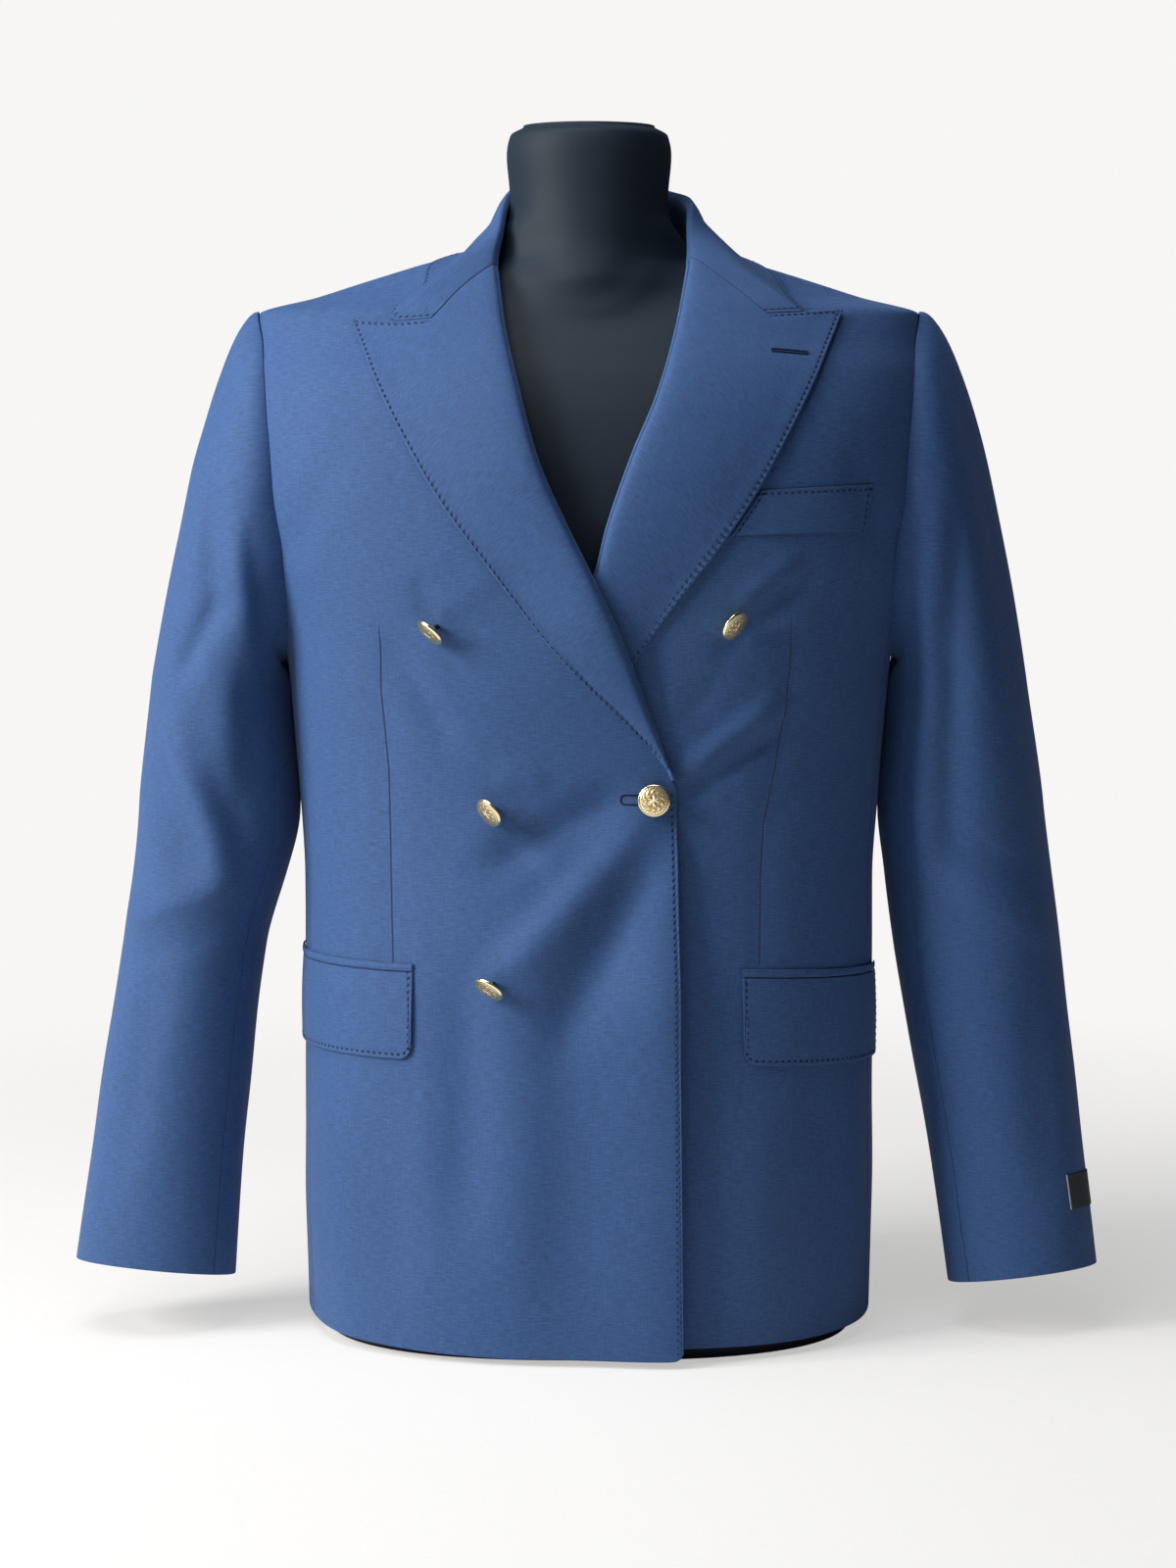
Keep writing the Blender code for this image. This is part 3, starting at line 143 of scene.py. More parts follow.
BUTTON_COLUMNS = ("name", "across", "height", "droop", "turn", "front")
BUTTONS = (
    ("upper_right", -0.0974, 0.4682, 37.0, -47.5, "right"),
    ("upper_left", 0.0896, 0.4721, 24.5, 40.0, "left"),
    ("middle_right", -0.0618, 0.3535, 29.5, -44.5, "right"),
    ("middle_left", 0.0402, 0.3614, -3.5, -14.0, "right"),
    ("lower_right", -0.0615, 0.2415, 49.5, -37.0, "right"),
    ("lower_left", 0.0480, 0.2376, 0.0, 0.0, "under"),
)
BUTTON_RADIUS = 0.0105
BUTTON_RIM = 0.0010      # depth of its rim
BUTTON_LIFT = 0.0050     # how far its middle stands off the cloth, at least
PRESSED_LIFT = 0.0024    # the same for the covered button
BUMP_COLUMNS = ("across", "height", "half_width", "half_height", "rise")
LAPEL_BUMP = (0.008, 0.478, 0.034, 0.045, 0.0048)
BUTTON_BUMP = (0.0480, 0.2376, 0.026, 0.034, 0.0050)

FLAP_COLUMNS = ("side", "across", "top", "length", "fall")
FLAPS = ((-1, -0.1120, 0.2495, 0.145, 0.0015), (1, 0.0972, 0.2470, 0.145, 0.0100))
FLAP_DEPTH = 0.0560
FLAP_CORNER = 0.0090
FLAP_STANDS = 0.0010     # how much further off its foot stands than its top
FLAP_PRESS = 0.0003      # how far it is pressed into the front under it
FLAP_SWELL = 0.0008      # how far its middle swells
JETTING_WIDTH = 0.0050
JETTING_SWELL = 0.0005
WELT_TOP = ((0.1078, 0.5560), (0.1815, 0.5592))
WELT_FOOT = ((0.0881, 0.5275), (0.1768, 0.5301))
WELT_GRID = {"wide": 0.088, "high": 0.030, "cell": 0.0025}

# Darts, as (across, height) from the tip down to the pocket.
DARTS = {
    -1: ((-0.1324, 0.478), (-0.1319, 0.428), (-0.1274, 0.378), (-0.1265, 0.310), (-0.1253, 0.257)),
    1: ((0.1286, 0.478), (0.1278, 0.445), (0.1238, 0.411), (0.1185, 0.377), (0.1117, 0.344),
        (0.1099, 0.311), (0.1093, 0.255)),
}
DART_SINK = 0.0009       # how far the cloth dips along a dart
DART_SPREAD = 0.010      # and how far to each side that is felt

# Creases: each runs from one (x, z) point to another; lean makes one flank steeper.
FOLD_COLUMNS = ("x0", "z0", "x1", "z1", "half_width", "rise", "lean")
FRONT_FOLDS = (
    (0.0320, 0.3385, -0.0522, 0.2496, 0.0160, 0.0074, -0.2),
    (0.0360, 0.3270, -0.0166, 0.2105, 0.0175, -0.0062, 0.0),
    (0.0160, 0.3620, -0.0600, 0.3200, 0.0120, -0.0048, 0.0),
    (-0.0600, 0.3440, -0.0279, 0.3078, 0.0090, -0.0010, 0.0),
    (-0.0563, 0.3760, -0.0300, 0.3760, 0.0110, 0.0013, 0.0),
    (-0.1241, 0.4544, -0.0885, 0.3975, 0.0105, -0.0027, 0.0),
    (-0.1010, 0.4740, -0.1060, 0.5000, 0.0080, -0.0011, 0.0),
    (-0.0900, 0.4800, -0.0600, 0.5050, 0.0090, 0.0008, 0.0),
    (-0.0780, 0.2400, -0.0800, 0.0900, 0.0180, -0.0042, 0.0),
    (-0.0400, 0.2000, -0.0460, 0.0400, 0.0220, 0.0016, 0.2),
    (-0.0160, 0.2224, -0.0100, 0.0408, 0.0220, -0.0012, 0.0),
    (-0.1300, 0.1750, -0.1250, 0.0300, 0.0190, -0.0022, 0.0),
    (-0.1626, 0.1757, -0.1602, 0.0215, 0.0150, 0.0018, 0.0),
    (0.0627, 0.3783, 0.1161, 0.4192, 0.0110, 0.0060, 0.3),
    (0.0640, 0.3660, 0.1175, 0.4040, 0.0110, -0.0050, -0.3),
    (0.0549, 0.4085, 0.0857, 0.4393, 0.0090, -0.0012, 0.0),
    (0.1180, 0.3505, 0.1635, 0.3918, 0.0100, -0.0013, 0.0),
    (0.0850, 0.4560, 0.1364, 0.5005, 0.0105, -0.0040, 0.0),
    (0.0960, 0.4860, 0.1300, 0.5120, 0.0090, 0.0020, 0.2),
    (0.1100, 0.1600, 0.1050, 0.0400, 0.0190, 0.0020, 0.0),
    (0.1511, 0.1778, 0.1589, 0.0254, 0.0150, -0.0016, 0.0),
    (-0.1887, 0.5178, -0.1616, 0.5742, 0.0120, -0.0016, 0.0),
    (0.1908, 0.5177, 0.1668, 0.5742, 0.0120, -0.0016, 0.0),
)
BACK_FOLDS = (
    (-0.1500, 0.5600, -0.1200, 0.3900, 0.0180, 0.0046, 0.3),
    (0.1480, 0.5550, 0.1220, 0.4000, 0.0200, 0.0043, -0.3),
    (-0.1700, 0.5000, -0.1500, 0.3600, 0.0150, -0.0033, 0.0),
    (0.1680, 0.5100, 0.1520, 0.3700, 0.0160, -0.0036, 0.0),
    (-0.0950, 0.3450, -0.0200, 0.3200, 0.0120, 0.0036, 0.3),
    (0.1000, 0.3350, 0.0300, 0.3120, 0.0130, 0.0034, -0.3),
    (-0.0900, 0.3640, -0.0400, 0.3480, 0.0080, -0.0012, 0.0),
    (0.0900, 0.3560, 0.0500, 0.3440, 0.0080, -0.0010, 0.0),
    (-0.0850, 0.2900, -0.1250, 0.1200, 0.0210, -0.0040, 0.0),
    (0.0700, 0.2700, 0.1050, 0.0900, 0.0220, 0.0043, 0.2),
    (-0.0300, 0.2500, -0.0450, 0.0700, 0.0200, 0.0034, 0.2),
    (-0.0600, 0.6500, -0.1100, 0.6100, 0.0140, -0.0010, 0.0),
    (0.0500, 0.6600, 0.1050, 0.6150, 0.0140, -0.0010, 0.0),
)
SLEEVE_GIRTH_RADIUS = 0.055
BODY_WAVE = 0.0004       # size of the slow waves of the body's cloth
SLEEVE_WAVE = 0.0005     # and of the sleeves'
# Creases of the sleeves: turn round the sleeve in degrees and height of both ends.
SLEEVE_FOLD_COLUMNS = ("turn0", "z0", "turn1", "z1", "half_width", "rise", "lean")
SLEEVE_FOLDS = {
    "right": (
        (24.0, 0.585, 56.0, 0.500, 0.0150, 0.0036, 0.3),
        (50.0, 0.560, 86.0, 0.486, 0.0130, -0.0062, 0.2),
        (86.0, 0.484, 62.0, 0.436, 0.0120, -0.0054, 0.0),
        (86.0, 0.525, 119.0, 0.440, 0.0130, 0.0066, 0.3),
        (106.0, 0.432, 102.0, 0.362, 0.0140, 0.0046, 0.2),
        (60.0, 0.404, 107.0, 0.307, 0.0120, 0.0056, -0.3),
        (92.0, 0.372, 116.0, 0.322, 0.0110, -0.0032, 0.0),
        (40.0, 0.372, 84.0, 0.300, 0.0130, -0.0036, 0.0),
        (112.0, 0.300, 30.0, 0.272, 0.0130, 0.0034, 0.3),
        (108.0, 0.266, 50.0, 0.250, 0.0100, -0.0014, 0.0),
        (70.0, 0.240, 60.0, 0.110, 0.0160, -0.0024, 0.0),
        (-40.0, 0.470, -60.0, 0.330, 0.0190, 0.0039, 0.0),
        (-30.0, 0.290, -70.0, 0.240, 0.0150, -0.0033, 0.0),
    ),
    "left": (
        (90.0, 0.560, 119.0, 0.435, 0.0130, 0.0050, 0.2),
        (120.0, 0.440, 122.0, 0.320, 0.0130, 0.0042, 0.2),
        (74.0, 0.545, 103.0, 0.450, 0.0130, -0.0052, 0.0),
        (104.0, 0.450, 106.0, 0.330, 0.0120, -0.0060, 0.0),
        (40.0, 0.600, 46.0, 0.450, 0.0140, -0.0022, 0.0),
        (112.0, 0.330, 50.0, 0.305, 0.0120, -0.0026, -0.3),
        (106.0, 0.292, 34.0, 0.262, 0.0140, 0.0028, 0.3),
        (60.0, 0.230, 66.0, 0.110, 0.0170, -0.0024, 0.0),
        (-44.0, 0.480, -58.0, 0.320, 0.0190, 0.0036, 0.0),
        (-30.0, 0.285, -72.0, 0.235, 0.0150, -0.0033, 0.0),
    ),
}

# ---------------------------------------------------------------- smooth tables


def cubic(t, start, leave, end, arrive, width=1.0):
    """Cubic from start to end as t goes from 0 to 1, with the slopes leave and arrive."""
    first = (2 * t**3 - 3 * t**2 + 1) * start + (t**3 - 2 * t**2 + t) * width * leave
    last = (3 * t**2 - 2 * t**3) * end + (t**3 - t**2) * width * arrive
    return first + last


def unit(vectors):
    """Each vector divided by its length."""
    return vectors / np.maximum(np.linalg.norm(vectors, axis=-1, keepdims=True), 1e-12)


def smooth(table, columns, name, at):
    """Shape-keeping cubic through one column of a table whose first column is the height.

    The slope at an inner row is the weighted harmonic mean of the chords beside it, or zero
    at a peak.
    """
    rows = np.array(table)
    x = rows[:, 0]
    y = rows[:, columns.index(name)]
    step = np.diff(x)
    chord = np.diff(y) / step
    first = 2 * step[1:] + step[:-1]
    second = step[1:] + 2 * step[:-1]
    same = chord[:-1] * chord[1:] > 0
    safe = np.where(same[:, None], np.stack([chord[:-1], chord[1:]], axis=-1), 1.0)
    inner = np.where(same, (first + second) / (first / safe[:, 0] + second / safe[:, 1]), 0.0)
    slope = np.concatenate([chord[:1], inner, chord[-1:]])
    at = np.clip(at, x[0], x[-1])
    cell = np.clip(np.searchsorted(x, at) - 1, 0, len(x) - 2)
    width = step[cell]
    t = (at - x[cell]) / width
    return cubic(t, y[cell], slope[cell], y[cell + 1], slope[cell + 1], width)


def along(points, t):
    """Smooth curve through a short list of points, t from 0 to 1 by chord length."""
    points = np.array(points, float)
    gaps = np.linalg.norm(np.diff(points, axis=0), axis=1)
    reach = np.append(0.0, np.cumsum(gaps)) / gaps.sum()
    slope = np.gradient(points, reach, axis=0)
    t = np.clip(np.asarray(t, float), 0.0, 1.0)
    cell = np.clip(np.searchsorted(reach, t) - 1, 0, len(reach) - 2)
    width = np.diff(reach)[cell][:, None]
    u = (t[:, None] - reach[cell][:, None]) / width
    return cubic(u, points[cell], slope[cell], points[cell + 1], slope[cell + 1], width)


def named(rows, columns):
    """Each row of a table as a dictionary with the columns' names."""
    return [dict(zip(columns, row)) for row in rows]


def ramp(value, start, end):
    """0 before start, 1 after end, smooth between them."""
    t = np.clip((value - start) / (end - start), 0.0, 1.0)
    return t * t * (3 - 2 * t)


def bell(value, half_width):
    """1 at zero, falling off as exp(-(value / half_width)^2)."""
    return np.exp(-((value / half_width) ** 2))


# Distances from an edge at which every grid has a line, so that edges are round.
RIMS = np.array((0.0, 0.0001, 0.0003, 0.0006, 0.0010, 0.0016, 0.0023, 0.0030, 0.0037, 0.0046))
IN_ROW = 7               # index of the rim line where the pick stitches stand
STITCH_SPREAD = 0.0009   # how far the pull of a stitch is felt across its row
# the distance that grows along each sewn edge
RUNS_ALONG = {"start": "bottom", "end": "bottom", "top": "start", "bottom": "start"}


def spaced(length, cell, ends=(True, True)):
    """Shares from 0 to 1: close together near the chosen ends, then steps of about one cell."""
    near = RIMS / length
    first = near[-1] if ends[0] else 0.0
    last = 1 - near[-1] if ends[1] else 1.0
    inner = np.linspace(first, last, max(2, round(length * (last - first) / cell) + 1))
    start = near[:-1] if ends[0] else near[:0]
    end = 1 - near[:-1][::-1] if ends[1] else near[:0]
    return np.concatenate([start, inner, end])


def stacked(low, high, share):
    """Shares of a whole edge from those of its two parts, which meet at the given share."""
    return np.append(low * share, share + high * (1 - share))


# ---------------------------------------------------------------- the worn surface


def section(height):
    """Half width, front and back depth, and squareness of the body at each height."""
    return [smooth(SECTIONS, SECTION_COLUMNS, name, height) for name in SECTION_COLUMNS[1:]]


def signed_power(value, power):
    """Power of the size of a value, with the value's sign."""
    return np.sign(value) * np.abs(value) ** power


def plain_body(angle, height):
    """Superellipse |x/w|^n + |y/d|^n = 1 at each height, d switching at the sides."""
    half_width, front, back, square = section(height)
    turn = np.radians(angle)
    depth = np.where(np.cos(turn) >= 0, front, back)
    x = half_width * signed_power(np.sin(turn), 2 / square)
    y = -depth * signed_power(np.cos(turn), 2 / square)
    return np.stack([x, y, height + 0 * x], axis=-1)


def crease(x, height, fold, start, end):
    """A bell across its line whose flanks differ by lean, fading in and out along the line."""
    dx = end[0] - start[0]
    dz = end[1] - start[1]
    long = np.hypot(dx, dz)
    t = ((x - start[0]) * dx + (height - start[1]) * dz) / long**2
    across = ((x - start[0]) * dz - (height - start[1]) * dx) / long
    width = fold["half_width"] * (1 + fold["lean"] * np.tanh(across / fold["half_width"]))
    fade = ramp(t, -0.25, 0.2) * (1 - ramp(t, 0.75, 1.3))
    return fold["rise"] * bell(across, width) * fade


def fold_rise(x, height, folds=FRONT_FOLDS):
    """Sum of the creases of a front or a back."""
    rise = 0.0 * x
    for fold in named(folds, FOLD_COLUMNS):
        rise = rise + crease(x, height, fold, (fold["x0"], fold["z0"]), (fold["x1"], fold["z1"]))
    return rise


def undulate(point, size, seed, shortest=0.05, longest=0.15):
    """Slow small waves: the mean of ten cosines in seeded directions."""
    rng = np.random.default_rng(seed)
    ways = rng.normal(size=(10, 3))
    ways = unit(ways) * (2 * np.pi / rng.uniform(shortest, longest, 10))[:, None]
    return size * np.cos(point @ ways.T + rng.uniform(0, 2 * np.pi, 10)).mean(axis=-1) * 2


def outward(angle, height):
    """Unit normal of the plain body, from central differences."""
    turn = 0.5
    rise = 0.001
    round_it = plain_body(angle + turn, height) - plain_body(angle - turn, height)
    up_it = plain_body(angle, height + rise) - plain_body(angle, height - rise)
    return unit(np.cross(round_it, up_it))


def body(angle, height, off=0.0):
    """Body surface with its folds and slow waves, moved out by off."""
    point = plain_body(angle, height)
    facing = np.cos(np.radians(angle))
    off = off + fold_rise(point[..., 0], height) * ramp(facing, 0.1, 0.4)
    off = off + fold_rise(point[..., 0], height, BACK_FOLDS) * ramp(-facing, 0.1, 0.4)
    off = off + undulate(point, BODY_WAVE, 5) * (1 - ramp(height, 0.60, 0.66))
    return point + outward(angle, height) * np.asarray(off)[..., None]


def front_angle(x, height):
    """Angle of the front point that stands at x."""
    half_width, _, _, square = section(height)
    share = np.clip(np.abs(x) / half_width, 0.0, 1.0)
    return np.degrees(np.sign(x) * np.arcsin(share ** (square / 2)))


def angle_beside(point, side):
    """Angle at which the body's section passes nearest to a point, by its shares of the axes."""
    half_width, front, back, square = section(point[..., 2])
    depth = np.where(point[..., 1] <= 0, front, back)
    across = np.abs(point[..., 0] / half_width) ** (square / 2)
    forward = np.abs(point[..., 1] / depth) ** (square / 2) * -np.sign(point[..., 1])
    return side * np.degrees(np.arctan2(across, forward))


def bump(x, height, size):
    """Round swell: a bell of the given half width and half height."""
    row = dict(zip(BUMP_COLUMNS, size))
    across = (x - row["across"]) / row["half_width"]
    upward = (height - row["height"]) / row["half_height"]
    return row["rise"] * np.exp(-(across**2) - upward**2)


def overlap(x, height):
    """How far the right front stands off: over the left front, its lapel and its button."""
    ride = OVERLAP_LIFT * ramp(x, -0.125, -0.030)
    below = 1 - ramp(height, FRONT_STANDS["full"], FRONT_STANDS["gone"])
    lower = 1 - ramp(height, FRONT_STANDS["to"], FRONT_STANDS["from"])
    width = FRONT_STANDS["width"] + FRONT_STANDS["more_width"] * lower
    rise = FRONT_STANDS["rise"] + FRONT_STANDS["more_rise"] * lower
    ride = ride + rise * bell(x - 0.057, width) * below
    over_lapel = bump(x, height, LAPEL_BUMP) * ramp(x, -0.07, -0.02)
    return ride + over_lapel + bump(x, height, BUTTON_BUMP)


def left_front_off(x, height):
    """The left front sinks under the right one, and follows its hollows but not its ridges."""
    hidden = 1 - ramp(x, 0.040, 0.058)
    hidden = hidden * (1 - ramp(height, 0.44, 0.50))
    return -UNDERLAP_SINK * hidden - np.maximum(fold_rise(x, height), 0.0) * hidden


def front_off(side, x, height):
    """How far a front stands off the body: the right one over the left."""
    return overlap(x, height) if side < 0 else left_front_off(x, height)


GIRTH_TOP = 0.74
GIRTH_ROWS = 90


def girth_table():
    """Length round the body from the centre front to each angle, at each height."""
    angle = np.linspace(0.0, 180.0, 361)
    height = np.linspace(0.0, GIRTH_TOP, GIRTH_ROWS)
    ring = plain_body(angle[None, :] + 0 * height[:, None], height[:, None] + 0 * angle[None, :])
    steps = np.linalg.norm(np.diff(ring, axis=1), axis=-1)
    return np.concatenate([np.zeros((GIRTH_ROWS, 1)), np.cumsum(steps, axis=1)], axis=1)


GIRTH = girth_table()


def grain(angle, height):
    """Cloth coordinates of a body point in metres: length round the body, and height."""
    column = np.clip(np.abs(angle) * 2, 0, 359.999)
    row = np.clip(height / GIRTH_TOP * (GIRTH_ROWS - 1), 0, GIRTH_ROWS - 1.001)
    i, j = row.astype(int), column.astype(int)
    a, b = row - i, column - j
    low = GIRTH[i, j] * (1 - b) + GIRTH[i, j + 1] * b
    high = GIRTH[i + 1, j] * (1 - b) + GIRTH[i + 1, j + 1] * b
    return np.stack([np.sign(angle) * (low * (1 - a) + high * a), height], axis=-1)


# ---------------------------------------------------------------- meshes


def mesh_from(name, points, quads, look, uv=None, marks=None, flip=False):
    """Object from an array of points and one of quads or triangles, with UV and marks."""
    points = np.asarray(points, np.float32).reshape(-1, 3)
    faces = np.asarray(quads, np.int32)
    if flip:
        faces = faces[:, ::-1]
    used, corners = np.unique(faces, return_inverse=True)
    corners = corners.ravel()
    points = points[used]
    mesh = bpy.data.meshes.new(name)
    mesh.vertices.add(len(points))
    mesh.vertices.foreach_set("co", points.ravel())
    mesh.loops.add(corners.size)
    mesh.loops.foreach_set("vertex_index", corners)
    mesh.polygons.add(len(faces))
    mesh.polygons.foreach_set("loop_start", np.arange(len(faces), dtype=np.int32) * faces.shape[1])
    mesh.polygons.foreach_set("use_smooth", np.ones(len(faces), bool))
    mesh.update(calc_edges=True)
    if uv is not None:
        layer = mesh.uv_layers.new(name="cloth")
        flat = np.asarray(uv, np.float32).reshape(-1, 2)[used]
        layer.data.foreach_set("uv", flat[corners].ravel())
    for mark, values in (marks or {}).items():
        held = mesh.attributes.new(mark, "FLOAT", "POINT")
        held.data.foreach_set("value", np.asarray(values, np.float32).ravel()[used])
    mesh.materials.append(look)
    made = bpy.data.objects.new(name, mesh)
    bpy.context.scene.collection.objects.link(made)
    return made


def grid_quads(ids, wrap=False):
    """The four corners of every cell of a grid of point numbers, joined round with wrap."""
    if wrap:
        ids = np.concatenate([ids, ids[:, :1]], axis=1)
    corners = (ids[:-1, :-1], ids[:-1, 1:], ids[1:, 1:], ids[1:, :-1])
    return np.stack(corners, axis=-1).reshape(-1, 4)


def both_faces(rows, columns):
    """Quads of a closed piece of cloth: its two faces share the points of their rim."""
    front = np.arange(rows * columns).reshape(rows, columns)
    back = front + rows * columns
    for edge in (np.s_[0], np.s_[-1], np.s_[:, 0], np.s_[:, -1]):
        back[edge] = front[edge]
    return np.concatenate([grid_quads(front), grid_quads(back)[:, ::-1]])


def kites(ring, middle):
    """Quads that close a ring: each is its middle point and two neighbouring steps of it."""
    first, second, third = ring[::2], np.roll(ring, -1)[::2], np.roll(ring, -2)[::2]
    return np.stack([0 * first + middle, first, second, third], axis=-1)


def rings(side, over, turn):
    """Directions of a tube's rings: side times the cosine of turn and over times its sine."""
    turn = turn[None, :, None]
    return side[:, None] * np.cos(turn) + over[:, None] * np.sin(turn)


def grid_normal(grid, flip=False):
    """Unit normals of a grid, from the cross product of its column and row directions."""
    across = np.gradient(grid, axis=1)
    upward = np.gradient(grid, axis=0)
    return unit(np.cross(across, upward) * (-1 if flip else 1))


def reaches(grid):
    """Distance of every point from each of the four edges, along its row or its column."""
    across = np.linalg.norm(np.diff(grid, axis=1), axis=-1)
    upward = np.linalg.norm(np.diff(grid, axis=0), axis=-1)
    across = np.concatenate([0 * across[:, :1], np.cumsum(across, axis=1)], axis=1)
    upward = np.concatenate([0 * upward[:1], np.cumsum(upward, axis=0)], axis=0)
    return {
        "start": across,
        "end": across[:, -1:] - across,
        "bottom": upward,
        "top": upward[-1:] - upward,
    }


def shell(name, middle, wall, look, flip=False, uv=None, marks=None, sewn=None, round_in=0.7):
    """Closed piece of cloth from the grid of its middle layer.

    Both faces stand half a wall off it along its normal. The half wall shrinks as a quarter
    circle to nothing at the rim, so edges are rounded, and the face dips along the sewn edges
    where the pick stitches pull it in. The marks sewn and stitch_run say how near a point is to
    a sewn row, and how many stitches along it. Returns the object with its outer face as a grid.
    """
    normal = grid_normal(middle, flip)
    reach = reaches(middle)
    nearest = np.min(list(reach.values()), axis=0)
    rest = 1 - np.clip(nearest / (round_in * wall), 0, 1)
    half = wall / 2 * np.sqrt(1 - rest**2)
    row = 0 * half
    run = 0 * half
    for edge, share in (sewn or {}).items():
        near = bell(reach[edge] - STITCH_IN, STITCH_SPREAD) * share
        run = np.where(near > row, reach[RUNS_ALONG[edge]] / STITCH_PITCH, run)
        row = np.maximum(row, near)
    dip = STITCH_DIP * row
    outer = middle + normal * (half - dip)[..., None]
    inner = middle - normal * half[..., None]
    points = np.concatenate([outer.reshape(-1, 3), inner.reshape(-1, 3)])
    if uv is None:
        uv = np.stack([reach["start"], reach["bottom"]], axis=-1)
    both = np.concatenate([uv.reshape(-1, 2)] * 2)
    kept = {"edge": np.clip(nearest, 0, 0.02), "sewn": row, "stitch_run": run, **(marks or {})}
    kept = {mark: np.concatenate([value.ravel()] * 2) for mark, value in kept.items()}
    made = mesh_from(name, points, both_faces(*half.shape), look, both, kept, flip)
    return {"object": made, "face": outer, "normal": normal, "reach": reach}


def patch(bottom, top, start, end, u, v):
    """Coons patch: rows run from bottom to top, columns from start to end."""
    u = u[None, :, None]
    v = v[:, None, None]
    across = (1 - u) * start[:, None] + u * end[:, None]
    upward = (1 - v) * bottom[None] + v * top[None]
    low = (1 - u) * bottom[0] + u * bottom[-1]
    high = (1 - u) * top[0] + u * top[-1]
    return across + upward - ((1 - v) * low + v * high)


def draw_in(grid, gap, edges=("bottom", "top", "start", "end")):
    """Pull the rim of a grid inwards by gap, fading over its first three millimetres."""
    reach = reaches(grid)
    moved = grid.copy()
    across = unit(np.gradient(grid, axis=1))
    upward = unit(np.gradient(grid, axis=0))
    ways = {"start": across, "end": -across, "bottom": upward, "top": -upward}
    for edge in edges:
        moved += ways[edge] * (gap * (1 - ramp(reach[edge], 0.0, 0.003)))[..., None]
    return moved


# ---------------------------------------------------------------- panels


def armhole(turn, side):
    """Point (angle, height) of the armhole; turn 0 is the shoulder, 90 the front, 270 the back."""
    swing = np.sin(np.radians(turn))
    reach = np.where(swing >= 0, ARMHOLE["front_reach"], ARMHOLE["back_reach"])
    angle = side * (90.0 - reach * swing)
    height = ARMHOLE["height"] + ARMHOLE["half_height"] * np.cos(np.radians(turn))
    return angle, height


def armhole_turn(angle):
    """Lower turn of the armhole where a seam at this angle meets it."""
    if angle < 90.0:
        return 180.0 - np.degrees(np.arcsin((90.0 - angle) / ARMHOLE["front_reach"]))
    return 180.0 + np.degrees(np.arcsin((angle - 90.0) / ARMHOLE["back_reach"]))


def hem_height(angle, side):
    """Hem of the blazer: the right front hangs lowest at the centre."""
    share = np.abs(angle) / 90.0
    if side < 0:
        return 0.0045 + 0.0085 * np.clip(share, 0, 1) ** 2
    return 0.0110 - 0.0020 * np.sin(np.pi * np.clip(share, 0, 1))


CELL = 0.0031            # about how far apart a panel's grid lines stand
BACK_CELL = CELL * 1.15
CORNER = 0.006           # rounding of the fronts' lower corners
FRONT = {"wide": 0.27, "half_long": 0.36, "low_share": 12 / 23, "neck_share": 0.86}
FRONT_EDGE = {"foot": 0.0585, "lean": 0.0035}    # the free edge: x at its foot, less its lean
SIDE_PANEL = {"wide": 0.12, "long": 0.46}
BACK = {"wide": 0.22, "low": 0.44, "high": 0.28, "low_share": 11 / 21, "shoulder": 0.62}


def front_panel(side):
    """(angle, height) grid of a front, from the hem to the shoulder, centre to side."""
    low = spaced(FRONT["half_long"], CELL, (True, False))
    high = spaced(FRONT["half_long"], CELL, (False, True))[1:]
    half = len(low)
    edge_x = -side * (FRONT_EDGE["foot"] - FRONT_EDGE["lean"] * low)
    foot = hem_height(15.0, side) + CORNER
    edge_z = foot + (BREAK_HEIGHT - foot) * low
    neck_share = FRONT["neck_share"]
    roll_z = BREAK_HEIGHT + (ROLL_LINE[-1][0] - BREAK_HEIGHT) * np.clip(high / neck_share, 0, 1)
    roll_x = smooth(ROLL_LINE, ROLL_COLUMNS, SIDE_NAMES[side], roll_z)
    centre_angle = front_angle(np.append(edge_x, roll_x), np.append(edge_z, roll_z))
    centre_z = np.append(edge_z, roll_z)
    over = np.clip((high - neck_share) / (1 - neck_share), 0, 1)
    last = centre_angle[half:]
    centre_angle[half:] = last + over * (side * 90.0 - last)
    centre_z[half:] = roll_z + over * (NECK_HEIGHT - roll_z)
    meet = armhole_turn(SIDE_SEAM)
    meet_height = armhole(meet, side)[1]
    hem_side = hem_height(SIDE_SEAM, side)
    seam_z = hem_side + (meet_height - hem_side) * low
    hole_angle, hole_z = armhole(meet * (1 - high), side)
    start = np.stack([centre_angle, centre_z], axis=-1)
    end = np.stack(
        [np.append(side * SIDE_SEAM + 0 * seam_z, hole_angle), np.append(seam_z, hole_z)], axis=-1
    )
    u = spaced(FRONT["wide"], CELL)
    v = stacked(low, high, FRONT["low_share"])
    hem_angle = start[0, 0] + (end[0, 0] - start[0, 0]) * u
    short = np.clip(CORNER - FRONT["wide"] * u, 0, None)
    lift = CORNER - np.sqrt(np.clip(CORNER**2 - short**2, 0, None))
    bottom = np.stack([hem_angle, hem_height(hem_angle, side) + lift], axis=-1)
    bottom[0] = start[0]
    bottom[-1] = end[0]
    top_z = NECK_HEIGHT + (SHOULDER_HEIGHT - NECK_HEIGHT) * u
    top = np.stack([side * 90.0 + 0 * u, top_z], axis=-1)
    return patch(bottom, top, start, end, u, v)


